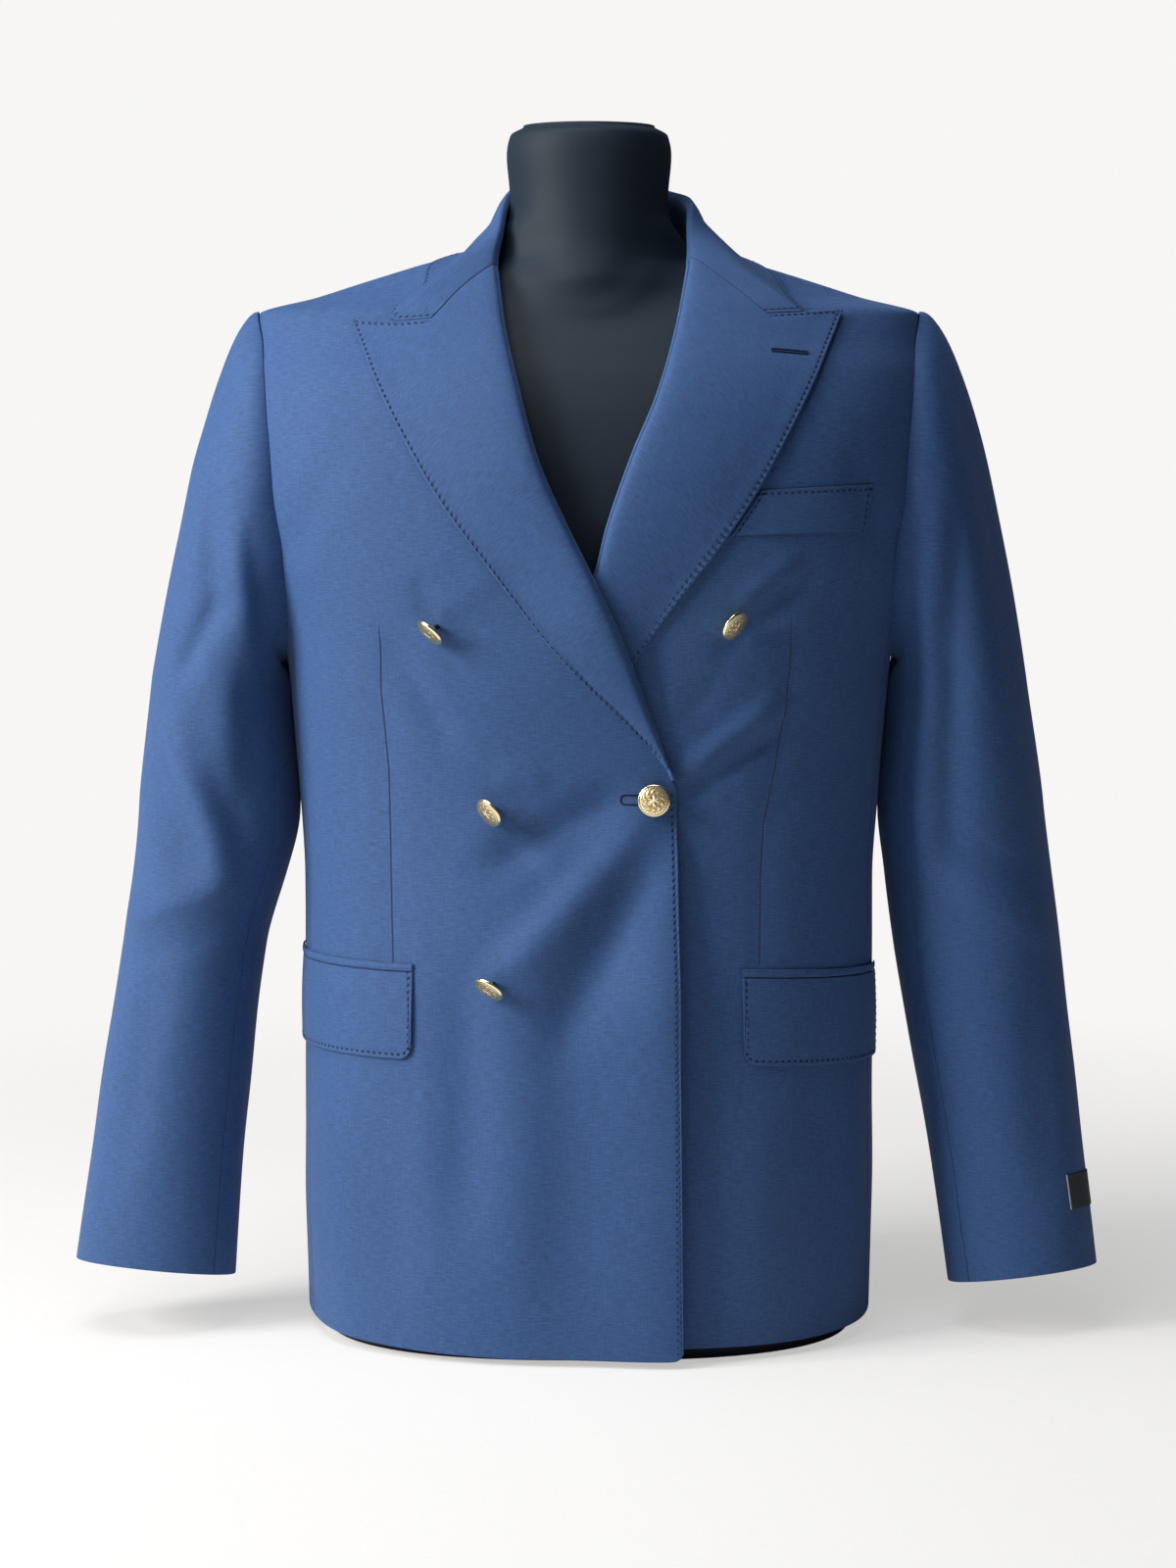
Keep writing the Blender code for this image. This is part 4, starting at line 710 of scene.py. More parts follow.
def side_panel(side):
    """(angle, height) grid of the panel under the arm."""
    u = spaced(SIDE_PANEL["wide"], CELL)
    v = spaced(SIDE_PANEL["long"], CELL)
    turn = armhole_turn(SIDE_SEAM) + (armhole_turn(BACK_SEAM) - armhole_turn(SIDE_SEAM)) * u
    top_angle, top_z = armhole(turn, side)
    bottom_angle = side * (SIDE_SEAM + (BACK_SEAM - SIDE_SEAM) * u)
    bottom = np.stack([bottom_angle, hem_height(bottom_angle, side)], axis=-1)
    top = np.stack([top_angle, top_z], axis=-1)
    start = bottom[0] + (top[0] - bottom[0]) * v[:, None]
    end = bottom[-1] + (top[-1] - bottom[-1]) * v[:, None]
    return patch(bottom, top, start, end, u, v)


def back_panel(side):
    """(angle, height) grid of a back, from the side seam to the centre back.

    The patch is made in space and then put back on the body, so that its rows stay even.
    """
    low = spaced(BACK["low"], BACK_CELL, (True, False))
    high = spaced(BACK["high"], BACK_CELL, (False, True))[1:]
    meet = armhole_turn(BACK_SEAM)
    meet_height = armhole(meet, side)[1]
    hem_side = hem_height(BACK_SEAM, side)
    seam_z = hem_side + (meet_height - hem_side) * low
    hole_angle, hole_z = armhole(meet + (360.0 - meet) * high, side)
    start = np.stack(
        [np.append(side * BACK_SEAM + 0 * seam_z, hole_angle), np.append(seam_z, hole_z)], axis=-1
    )
    hem_back = hem_height(180.0, side)
    rise = stacked(low, high, 0.5)
    end = np.stack(
        [side * 180.0 + 0 * rise, hem_back + (BACK_NECK_HEIGHT - hem_back) * rise], axis=-1
    )
    u = spaced(BACK["wide"], BACK_CELL)
    v = stacked(low, high, BACK["low_share"])
    bottom_angle = side * (BACK_SEAM + (180.0 - BACK_SEAM) * u)
    bottom = np.stack([bottom_angle, hem_height(bottom_angle, side)], axis=-1)
    shoulder = BACK["shoulder"]
    along_seam = np.clip(u / shoulder, 0, 1)
    round_neck = np.clip((u - shoulder) / (1 - shoulder), 0, 1)
    top_z = SHOULDER_HEIGHT + (NECK_HEIGHT - SHOULDER_HEIGHT) * along_seam
    top_z = top_z + (BACK_NECK_HEIGHT - NECK_HEIGHT) * np.sin(np.pi / 2 * round_neck)
    top = np.stack([side * (90.0 + 90.0 * round_neck), top_z], axis=-1)
    edges = [plain_body(edge[:, 0], edge[:, 1]) for edge in (bottom, top, start, end)]
    points = patch(*edges, u, v)
    return np.stack([angle_beside(points, side), points[..., 2]], axis=-1)


def dart_marks(side, x, height):
    """Signed distance to the dart's line, and how deep the dart is there, from 0 to 1."""
    line = np.array(DARTS[side])[::-1]
    away = x - np.interp(height, line[:, 1], line[:, 0])
    depth = ramp(height, 0.2535, 0.2555) * (1 - ramp(height, 0.455, 0.480))
    return away, depth


def panels(cloth):
    """Both fronts with their darts, both side panels and both backs."""
    made = {}
    for side, name in SIDE_NAMES.items():
        angle, height = np.moveaxis(front_panel(side), -1, 0)
        x = plain_body(angle, height)[..., 0]
        away, depth = dart_marks(side, x, height)
        dip = DART_SINK * bell(away, DART_SPREAD) * depth
        off = front_off(side, x, height) - WALL / 2 - dip
        middle = draw_in(body(angle, height, off), SEAM)
        free = (np.arange(len(angle)) < len(angle) // 2)[:, None]
        made[f"front_{name}"] = shell(
            f"front_{name}_cloth", middle, WALL, cloth, side < 0, grain(angle, height),
            {"dart": away, "dart_depth": depth}, {"start": free * 1.0},
        )
        for piece, panel in (("side_panel", side_panel), ("back", back_panel)):
            angle, height = np.moveaxis(panel(side), -1, 0)
            middle = draw_in(body(angle, height, 0 * angle - WALL / 2), SEAM)
            made[f"{piece}_{name}"] = shell(
                f"{piece}_{name}_cloth", middle, WALL, cloth, side < 0, grain(angle, height)
            )
    return made


# ---------------------------------------------------------------- sleeves

SLEEVE_COLUMNS = ("share", "x", "y", "z", "half_width", "half_depth")
SLEEVES = {
    "right": (
        (0.000, 0.2450, 0.004, 0.430, 0.0442, 0.0680),
        (0.218, 0.2472, 0.003, 0.345, 0.0522, 0.0600),
        (0.436, 0.2625, -0.003, 0.260, 0.0466, 0.0540),
        (0.718, 0.2772, -0.018, 0.150, 0.0486, 0.0470),
        (1.000, 0.2887, -0.036, 0.040, 0.0524, 0.0400),
    ),
    "left": (
        (0.000, 0.2450, 0.004, 0.430, 0.0442, 0.0680),
        (0.218, 0.2486, 0.003, 0.345, 0.0538, 0.0600),
        (0.436, 0.2584, -0.003, 0.260, 0.0547, 0.0540),
        (0.718, 0.2741, -0.018, 0.150, 0.0509, 0.0470),
        (1.000, 0.2890, -0.036, 0.036, 0.0490, 0.0400),
    ),
}
SLEEVE_ROWS = 23         # rows of the sleeve's tables, from the armhole to the cuff
CAP_ROWS = 8             # and how many of them are its head
SLEEVE_LONG = 0.64
SLEEVE_CELL = {"along": 0.0034, "round": 0.0032}
HEAD_SINK = 0.0010       # a sleeve starts this far under the face of the body
HEAD_PROUD = 0.0016      # and this much higher at the shoulder, where it shows
HEAD_DRAW = 0.991        # and this share of the armhole's size, inside its edge
HEAD_TOP_DRAW = 0.014    # but this much wider at the shoulder, to close on the body's edge
HEAD_FOOT_DRAW = 0.014   # and under the arm
ARMPIT_PRESS = 0.0016    # more press just under the armhole
HEAD_LEAVES = 0.035      # how far a head leaves along the body's normal, under the arm
HEAD_FULL = {"right": 0.054, "left": 0.068}     # and how much further at the shoulder
HEAD_DROPS = 0.020       # how far it falls as it leaves, under the arm
HEAD_TOP_DROPS = 0.035   # and how much further at the shoulder
HEAD_SET = {"right": 0.045, "left": 0.038}      # how far its outside leans as it arrives
SLEEVE_PRESS = 0.0016    # how far the cloth of a sleeve is pressed against the body's side
BESIDE_BODY = {"turn": 172.0, "spread": 34.0}    # the part of its ring that is pressed
ARMPIT = {"height": 0.440, "spread": 0.022}
FOREARM_SEAM = 142.0     # degrees round the sleeve from its outer line, over the front
ELBOW_SEAM = 232.0
SLEEVE_PIECE_COLUMNS = ("piece", "first", "last", "girth")
SLEEVE_PIECES = (
    ("top", ELBOW_SEAM - 360.0, FOREARM_SEAM, 0.25),
    ("under", FOREARM_SEAM, ELBOW_SEAM, 0.09),
)


def sleeve_axis(name, share):
    """Middle of the tube at each share of the way to the cuff."""
    rows = SLEEVES[name]
    return np.stack([smooth(rows, SLEEVE_COLUMNS, key, share) for key in ("x", "y", "z")], axis=-1)


def sleeve_ring(name, turn, share):
    """Ring of the tube square to its axis, drawn on the +X side; turn 0 is out, 90 the front."""
    step = 0.02
    run = sleeve_axis(name, np.clip(share + step, 0, 1))
    run = unit(run - sleeve_axis(name, np.clip(share - step, 0, 1)))
    out = unit(np.array([1.0, 0.0, 0.0]) - run * run[..., :1])
    front = np.cross(run, out)
    front = front * -np.sign(front[..., 1:2])
    wide = smooth(SLEEVES[name], SLEEVE_COLUMNS, "half_width", share)
    deep = smooth(SLEEVES[name], SLEEVE_COLUMNS, "half_depth", share)
    swing = np.radians(turn)
    return (
        sleeve_axis(name, share)
        + out * (wide * np.cos(swing))[..., None]
        + front * (deep * np.sin(swing))[..., None]
    )


def sleeve_cap(name, turn, share):
    """Cubic from the armhole (share 0) to the first ring (share 1)."""
    angle, height = armhole(turn, 1)
    swing = np.radians(turn)
    up = 0.5 * (1 + np.cos(swing))
    draw = HEAD_DRAW + HEAD_TOP_DRAW * up**4 + HEAD_FOOT_DRAW * (1 - up) ** 4
    angle = 90.0 + (angle - 90.0) * draw
    height = ARMHOLE["height"] + (height - ARMHOLE["height"]) * draw
    start = plain_body(angle, height)
    normal = outward(angle, height)
    start = start - (HEAD_SINK - HEAD_PROUD * up**6)[..., None] * normal
    end = sleeve_ring(name, turn, 0 * share)
    leave = normal * (HEAD_LEAVES + HEAD_FULL[name] * up)[..., None]
    leave = leave + np.stack([0 * up, 0 * up, -HEAD_TOP_DROPS * up - HEAD_DROPS], axis=-1)
    drop = np.linalg.norm(end - start, axis=-1)
    arrive = np.stack([HEAD_SET[name] * up, 0 * up, -1.0 * drop], axis=-1)
    return cubic(share[..., None], start, leave, end, arrive)


def sleeve_fold_rise(name, turn, height):
    """Sum of the creases of one sleeve, laid out flat: turn times its radius, and height."""
    around = np.radians((turn + 128.0) % 360.0 - 128.0) * SLEEVE_GIRTH_RADIUS
    rise = 0.0 * around
    for fold in named(SLEEVE_FOLDS[name], SLEEVE_FOLD_COLUMNS):
        start = (np.radians(fold["turn0"]) * SLEEVE_GIRTH_RADIUS, fold["z0"])
        end = (np.radians(fold["turn1"]) * SLEEVE_GIRTH_RADIUS, fold["z1"])
        rise = rise + crease(around, height, fold, start, end)
    return rise


def sleeve_point(name, turn, row):
    """row 0 to CAP_ROWS is the cap, and on to SLEEVE_ROWS the tube down to the cuff."""
    cap_share = np.clip(row / CAP_ROWS, 0, 1)
    tube_share = np.clip((row - CAP_ROWS) / (SLEEVE_ROWS - CAP_ROWS), 0, 1)
    in_cap = (row <= CAP_ROWS)[..., None]
    cap = sleeve_cap(name, turn, cap_share)
    point = np.where(in_cap, cap, sleeve_ring(name, turn, tube_share))
    away = unit((point - sleeve_axis(name, tube_share)) * (1.0, 1.0, 0.0))
    rise = sleeve_fold_rise(name, turn, point[..., 2]) + undulate(point, SLEEVE_WAVE, 11)
    beside = bell((turn % 360.0) - BESIDE_BODY["turn"], BESIDE_BODY["spread"])
    beside = beside * ramp(point[..., 2], 0.30, 0.34)
    armpit = bell(point[..., 2] - ARMPIT["height"], ARMPIT["spread"])
    rise = rise + (SLEEVE_PRESS + ARMPIT_PRESS * armpit) * beside
    return point + away * (rise * ramp(row, 2.0, 5.0))[..., None]


def sleeves(cloth):
    """Both sleeves, each of a top and an under piece."""
    made = {}
    rows = spaced(SLEEVE_LONG, SLEEVE_CELL["along"]) * SLEEVE_ROWS
    for side, name in SIDE_NAMES.items():
        for cut in named(SLEEVE_PIECES, SLEEVE_PIECE_COLUMNS):
            piece, first, last = cut["piece"], cut["first"], cut["last"]
            across = spaced(cut["girth"], SLEEVE_CELL["round"])
            turn, row = np.meshgrid(first + (last - first) * across, rows)
            middle = draw_in(sleeve_point(name, turn % 360.0, row), SEAM)
            middle[..., 0] *= side
            uv = np.stack([np.radians(turn) * SLEEVE_GIRTH_RADIUS, middle[..., 2]], axis=-1)
            made[f"{piece}_sleeve_{name}"] = shell(
                f"{piece}_sleeve_{name}_cloth", middle, WALL, cloth, side < 0, uv
            )
    return made


# ---------------------------------------------------------------- lapels and collar


def on_front(side, x, height, off):
    """Points above one front: off is measured from that front's own outer face."""
    angle = front_angle(x, height)
    return body(angle, height, front_off(side, x, height) + off)


def puff(share):
    """Rise of a turned lapel across its width: quick at the fold, gone at the outer edge."""
    return np.sin(np.pi * share**0.38)


NOTCH = {-1: 0.494, 1: 0.548}         # share of a lapel's top edge at which its notch lies
CORNER_END = {-1: 0.717, 1: 0.757}    # and at which the collar's corner lies
LAPEL_GRID = {"long": 0.33, "cell": 0.0028, "wide": 0.095, "columns": 34, "crowd": 1.7}
FOLD_RADIUS = 0.0017


def top_line(side, share):
    """Top edge of a lapel: the gorge curve to the notch, a corner there, the peak's top."""
    points = LAPEL_TOP[side]
    share = np.asarray(share, float)
    gorge = along(points[:3], share / NOTCH[side])
    peak = along(points[2:], (share - NOTCH[side]) / (1 - NOTCH[side]))
    return np.where((share < NOTCH[side])[:, None], gorge, peak)


def lapel(side, cloth):
    """A turned lapel: it wraps the front's edge as a half circle, then lies on the front.

    Rows run up the fold line. The first columns go round the fold from inside, and the rest
    run out to the edge; the top row follows the gorge, the notch and the peak.
    """
    name = SIDE_NAMES[side]
    top, foot = LAPEL_TOP[side], LAPEL_FOOT[side]
    v = spaced(LAPEL_GRID["long"], LAPEL_GRID["cell"])
    even = np.linspace(0, 1, LAPEL_GRID["columns"]) ** LAPEL_GRID["crowd"]
    tail = 1 - RIMS[::-1] / LAPEL_GRID["wide"]
    u = np.concatenate([even[even < tail[0] - 0.008], tail])
    u[np.argmin(np.abs(u - NOTCH[side]))] = NOTCH[side]
    fold_z = foot + (top[0][1] - foot) * v
    fold_x = smooth(ROLL_LINE, ROLL_COLUMNS, name, fold_z)
    start = np.stack([fold_x, fold_z], axis=-1)
    start[-1] = top[0]
    end = along(LAPEL_EDGE[side], v)
    bottom = start[0] + (end[0] - start[0]) * u[:, None]
    flat = patch(bottom, top_line(side, u), start, end, u, v)
    grow = ramp(v, 0.0, 0.25)[:, None]
    off = LAY + LAPEL_WALL / 2 + LAPEL_ROLL * puff(u)[None, :] * (0.35 + 0.65 * grow)
    at_edge = ramp(u, 0.85, 1.0)[None, :]
    off = off + EDGE_STANDS * at_edge
    free = ramp(u, CORNER_END[side], CORNER_END[side] + 0.06)[None, :]
    off = off + EDGE_STANDS * ramp(v, 0.975, 1.0)[:, None] * free * (1 - at_edge)
    lie = on_front(side, flat[..., 0], flat[..., 1], off)
    # the wrap round the fold: a half circle whose back lies inside the front
    turn = np.radians(np.linspace(-90.0, 70.0, 9))
    beyond = unit(start - flat[:, 6])
    radius = FOLD_RADIUS * (0.3 + 0.7 * ramp(v, 0.0, 0.1))[:, None]
    round_off = LAY + LAPEL_WALL / 2 - radius + radius * np.sin(turn)[None, :]
    reach = (radius * np.cos(turn)[None, :])[..., None] * beyond[:, None]
    around = start[:, None] + reach
    wrap = on_front(side, around[..., 0], around[..., 1], round_off)
    middle = np.concatenate([wrap, lie], axis=1)
    middle = draw_in(middle, SEAM, ("bottom", "top"))
    peak = np.append(np.zeros(len(turn)), ramp(u, NOTCH[side] + 0.02, NOTCH[side] + 0.04))
    made = shell(
        f"lapel_{name}_cloth", middle, LAPEL_WALL, cloth, side < 0,
        sewn={"end": ramp(v, 0.02, 0.06)[:, None], "top": peak[None, :]}, round_in=0.5,
    )
    made["peak_from"] = int(np.argmax(peak > 0.5))
    return made


COLLAR_COLUMNS = (
    "share", "roll_x", "roll_y", "roll_z", "leaf_angle", "leaf_z", "foot_angle", "foot_z"
)
COLLAR = {1: (
    (0.00, 0.0655, -0.032, 0.7058, 32.5, 0.6668, 47.0, 0.7000),
    (0.07, 0.0662, -0.026, 0.7145, 41.3, 0.6722, 56.5, 0.7026),
    (0.16, 0.0661, -0.018, 0.7279, 57.0, 0.6880, 72.0, 0.7063),
    (0.28, 0.0670, -0.006, 0.7400, 90.0, 0.7045, 90.0, 0.7112),
    (0.62, 0.0520, 0.046, 0.7520, 135.0, 0.7040, 135.0, 0.7268),
    (1.00, 0.0000, 0.0745, 0.7620, 180.0, 0.7160, 180.0, 0.7330),
), -1: (
    (0.00, 0.0600, -0.040, 0.6995, 28.3, 0.6635, 38.0, 0.6985),
    (0.07, 0.0601, -0.034, 0.7090, 35.6, 0.6662, 50.0, 0.7014),
    (0.16, 0.0578, -0.025, 0.7244, 50.0, 0.6895, 68.0, 0.7057),
    (0.28, 0.0562, -0.012, 0.7385, 90.0, 0.7062, 90.0, 0.7112),
    (0.62, 0.0525, 0.046, 0.7520, 135.0, 0.7040, 135.0, 0.7268),
    (1.00, 0.0000, 0.0745, 0.7620, 180.0, 0.7160, 180.0, 0.7330),
)}
COLLAR_SWELL = 0.0016                 # how far the fall swells between its edges
COLLAR_TURN = 0.0020                  # half the depth of the fold along its top
COLLAR_HUG = {-1: 0.0085, 1: 0.0057}  # how far the fall sinks towards the neck at its sides
COLLAR_TUCK = 0.0035                  # how far the stand's foot goes inside the neckline there
COLLAR_CORNER = 0.07                  # share of half the collar at which its corner lies
COLLAR_WIDE = 0.085
GORGE_PLACES = np.array((0.0, 0.03, 0.33, 0.67, 1.0))   # guide lines 3 to 7 along the gorge
GORGE_REACH = 0.20                    # the collar has left the lapel's level by here


def lapel_top(side, share):
    """Points along the top edge of a lapel, from its fold (0) to its tip (1)."""
    flat = top_line(side, share)
    off = LAY + LAPEL_WALL / 2 + LAPEL_ROLL * puff(share)
    return on_front(side, flat[:, 0], flat[:, 1], off)


def collar_side(side, share):
    """Eight guide lines of half the collar: foot, stand, inner roll, roll, and down the fall."""
    table = COLLAR[side]

    def read(name):
        """One column of the table: straight to the corner, and smooth beyond it."""
        two = np.array(table[:2])
        straight = np.interp(share, two[:, 0], two[:, COLLAR_COLUMNS.index(name)])
        curved = smooth(table[1:], COLLAR_COLUMNS, name, share)
        return np.where(share < COLLAR_CORNER, straight, curved)

    roll = np.stack([read("roll_x"), read("roll_y"), read("roll_z")], axis=-1)
    at_side = ramp(share, 0.08, 0.24) * (1 - ramp(share, 0.36, 0.62))
    leaf_off = LAY + COLLAR_WALL / 2 + 0.0010 * ramp(share, 0.4, 1.0)
    leaf = body(read("leaf_angle"), read("leaf_z"), leaf_off)
    foot = body(read("foot_angle"), read("foot_z"), -WALL / 2 - COLLAR_TUCK * at_side)
    away = unit(roll * (1.0, 1.0, 0.0) - (0.0, 0.006, 0.0))
    up = np.array([0.0, 0.0, 1.0])
    inner = roll - COLLAR_TURN * away - 0.0028 * up
    outer = roll + COLLAR_TURN * away - 0.0024 * up
    swell = COLLAR_SWELL * ramp(share, 0.0, 2 * COLLAR_CORNER)[:, None] * (0.5 * away + 0.8 * up)
    hug = (COLLAR_HUG[side] * at_side)[:, None] * (0.65 * away + 0.76 * up)
    guides = np.stack(
        [
            foot,
            foot + (inner - foot) * 0.5 - 0.0006 * away,
            inner,
            roll,
            outer,
            outer + (leaf - outer) * 0.33 + swell - 0.6 * hug,
            outer + (leaf - outer) * 0.67 + swell * 0.8 - hug,
            leaf,
        ],
        axis=1,
    )
    guides[..., 0] *= side
    # along the gorge the fall lies on the lapel's top edge, and its end on the same edge
    seam = lapel_top(side, NOTCH[side] * GORGE_PLACES)
    shift = seam - guides[0, 3:]
    shift = np.concatenate([shift[:1] * [[0.0], [0.5], [1.0]], shift])
    guides = guides + (1 - ramp(share, 0.0, GORGE_REACH))[:, None, None] * shift
    to_corner = np.clip(share / COLLAR_CORNER, 0, 1)
    edge = lapel_top(side, NOTCH[side] + (CORNER_END[side] - NOTCH[side]) * to_corner)
    at_corner = np.argmin(np.abs(share - COLLAR_CORNER))
    rest = np.where((share <= COLLAR_CORNER)[:, None], edge - guides[:, 7],
                    edge[at_corner] - guides[at_corner, 7])
    rest = rest * (1 - ramp(share, COLLAR_CORNER, 0.26))[:, None]
    pull = np.array((0.0, 0.0, 0.0, 0.0, 0.0, 0.15, 0.55, 1.0))
    return guides + pull[None, :, None] * rest[:, None]


def guide_places(guides):
    """Share of the way across at which each guide line lies, by the rows' mean length."""
    gaps = np.linalg.norm(np.diff(guides, axis=1), axis=-1).mean(axis=0)
    return np.append(0.0, np.cumsum(gaps)) / gaps.sum()


def cross_curves(guides, t):
    """Smooth curves across a set of guide lines, all rows at once, t from 0 to 1 by length."""
    reach = guide_places(guides)
    slope = np.gradient(guides, reach, axis=1)
    cell = np.clip(np.searchsorted(reach, t) - 1, 0, len(reach) - 2)
    width = np.diff(reach)[cell]
    share = ((t - reach[cell]) / width)[None, :, None]
    ends = (guides[:, cell], slope[:, cell], guides[:, cell + 1], slope[:, cell + 1])
    return cubic(share, *ends, width[None, :, None])


def collar(cloth):
    """Stand and fall in one piece, from gorge to gorge round the back of the neck."""
    corner = spaced(0.022, 0.0015, (True, False)) * COLLAR_CORNER
    share = np.concatenate([corner, np.linspace(COLLAR_CORNER, 1, 76)[1:]])
    guides = np.concatenate([collar_side(-1, share), collar_side(1, share)[-2::-1]])
    t = np.concatenate([np.linspace(0, 1, 64)[:-4], 1 - RIMS[::-1] / COLLAR_WIDE])
    t = np.sort(t[t <= 1])
    middle = cross_curves(guides, t)
    # the rows at each end are carried onto the lapel's own top edge
    reach = guide_places(guides)
    places = np.interp(t, reach[3:], GORGE_PLACES)
    near = 1 - ramp(share, 0.0, 0.16)
    far = 0 * near[1:]
    fades = (np.append(near, far), np.append(far, near[::-1]))
    for side, row, fade in zip((-1, 1), (0, -1), fades):
        seam = lapel_top(side, NOTCH[side] * places)
        off = np.where((t >= reach[3])[:, None], seam - middle[row], 0.0)
        middle = middle + fade[:, None, None] * off
    middle = draw_in(middle, SEAM)
    return shell("collar_cloth", middle, COLLAR_WALL, cloth, True, sewn={"end": 1.0}, round_in=0.5)


# ---------------------------------------------------------------- pockets


def walk(angle, height, length):
    """Angles reached after going these lengths round the body at one height, from the centre."""
    turn = np.sign(angle) * np.linspace(abs(angle), 178.0, 600)
    path = plain_body(turn, 0 * turn + height)
    reach = np.append(0.0, np.cumsum(np.linalg.norm(np.diff(path, axis=0), axis=1)))
    return np.interp(length, reach, turn)


def pocket_strip(flap, top, depth, u, v, corner=0.0):
    """(angle, height) grid of a strip that goes round the body from its front end."""
    length = flap["length"]
    first = front_angle(np.array([flap["across"]]), np.array([top]))[0]
    angle = walk(first, top, length * u)
    near_end = length * np.minimum(u, 1 - u)
    short = np.clip(corner - near_end, 0, None)
    cut = corner - np.sqrt(np.clip(corner**2 - short**2, 0, None))
    upper = top - flap["fall"] * u[None, :]
    lower = upper - depth + cut[None, :]
    return angle[None, :] + 0 * v[:, None], lower + (upper - lower) * v[:, None]


def pockets(cloth):
    """Both flaps, and the narrow jetting over each."""
    made = {}
    for flap in named(FLAPS, FLAP_COLUMNS):
        side, top = flap["side"], flap["top"]
        name = SIDE_NAMES[side]
        u = spaced(flap["length"], 0.0028)
        u = np.unique(np.concatenate([u, np.linspace(0, 0.06, 8), np.linspace(0.94, 1, 8)]))
        v = spaced(FLAP_DEPTH, 0.0026)
        angle, height = pocket_strip(flap, top, FLAP_DEPTH, u, v, FLAP_CORNER)
        x = plain_body(angle, height)[..., 0]
        fallen = (top - height) / FLAP_DEPTH
        off = front_off(side, x, height) - FLAP_PRESS + FLAP_WALL / 2 + FLAP_STANDS * fallen
        off = off + FLAP_SWELL * np.sin(np.pi * np.clip(fallen, 0, 1))
        made[f"flap_{name}"] = shell(
            f"flap_{name}_cloth", body(angle, height, off), FLAP_WALL, cloth, side < 0,
            grain(angle, height), sewn={"start": 1.0, "bottom": 1.0, "end": 1.0},
        )
        v = np.linspace(0, 1, 13)
        angle, height = pocket_strip(flap, top + JETTING_WIDTH + LAY, JETTING_WIDTH, u, v)
        off = front_off(side, x[0, 0] + 0 * angle, height) + LAY + STRIP_WALL / 2
        off = off + JETTING_SWELL * np.sin(np.pi * v)[:, None]
        made[f"jetting_{name}"] = shell(
            f"jetting_{name}_cloth", body(angle, height, off), STRIP_WALL, cloth, side < 0,
            grain(angle, height),
        )
    return made


def welt(cloth):
    """Breast pocket welt on the left front; its inner end follows the lapel's edge."""
    rows = spaced(WELT_GRID["high"], WELT_GRID["cell"])
    columns = spaced(WELT_GRID["wide"], WELT_GRID["cell"])
    foot = np.array(WELT_FOOT)
    top = np.array(WELT_TOP)
    lower = foot[0] + (foot[1] - foot[0]) * columns[:, None]
    upper = top[0] + (top[1] - top[0]) * columns[:, None]
    flat = lower[None] + (upper - lower)[None] * rows[:, None, None]
    off = 0 * flat[..., 0] + LAY + STRIP_WALL / 2
    middle = on_front(1, flat[..., 0], flat[..., 1], off)
    sewn = {"start": 1.0, "top": 1.0, "end": 1.0}
    return shell("breast_welt_cloth", middle, STRIP_WALL, cloth, False, sewn=sewn)


# ---------------------------------------------------------------- sewing


def stitch_row(face, normal, reach, first=0, last=None):
    """Places, directions and normals of stitches along a line of points on a cloth's face.

    They stand at whole numbers of pitches of the line's own length, where the cloth dips.
    """
    first_stitch = np.ceil(reach[first] / STITCH_PITCH)
    last_stitch = np.floor(reach[last or -1] / STITCH_PITCH)
    at = STITCH_PITCH * np.arange(first_stitch, last_stitch + 1)

    def on_line(values, where):
        """A value of each point of the line, read between the points."""
        return np.stack([np.interp(where, reach, values[:, k]) for k in range(3)], axis=-1)

    step = 0.0005
    run = unit(on_line(face, at + step) - on_line(face, at - step))
    side = unit(np.cross(run, on_line(normal, at)))
    return on_line(face, at), run, side, np.cross(side, run)


def stitches(name, rows, look, long=0.0021, wide=0.00040):
    """Short threads that dive into the cloth at both ends: each is a bent tube of six rings."""
    place, run, side, up = [np.concatenate(parts) for parts in zip(*rows)]
    t = np.linspace(-1, 1, 6)
    swing = np.linspace(0, 2 * np.pi, 6, endpoint=False)
    body_width = np.sqrt(np.clip(1 - t**2, 0.02, 1)) * wide
    along_it = (t * long / 2)[:, None] + 0 * swing
    across = body_width[:, None] * np.cos(swing)
    above = body_width[:, None] * np.sin(swing) + (0.00012 - 0.0004 * t**2)[:, None]
    points = (
        place[:, None, None]
        + run[:, None, None] * along_it[None, ..., None]
        + side[:, None, None] * across[None, ..., None]
        + up[:, None, None] * above[None, ..., None]
    )
    one = grid_quads(np.arange(36).reshape(6, 6), wrap=True)
    caps = np.array([[0, 1, 2, 3], [0, 3, 4, 5], [33, 32, 31, 30], [35, 34, 33, 30]])
    one = np.concatenate([one, caps[:, ::-1]])
    quads = (one[None] + 36 * np.arange(len(place))[:, None, None]).reshape(-1, 4)
    return mesh_from(name, points, quads, look)


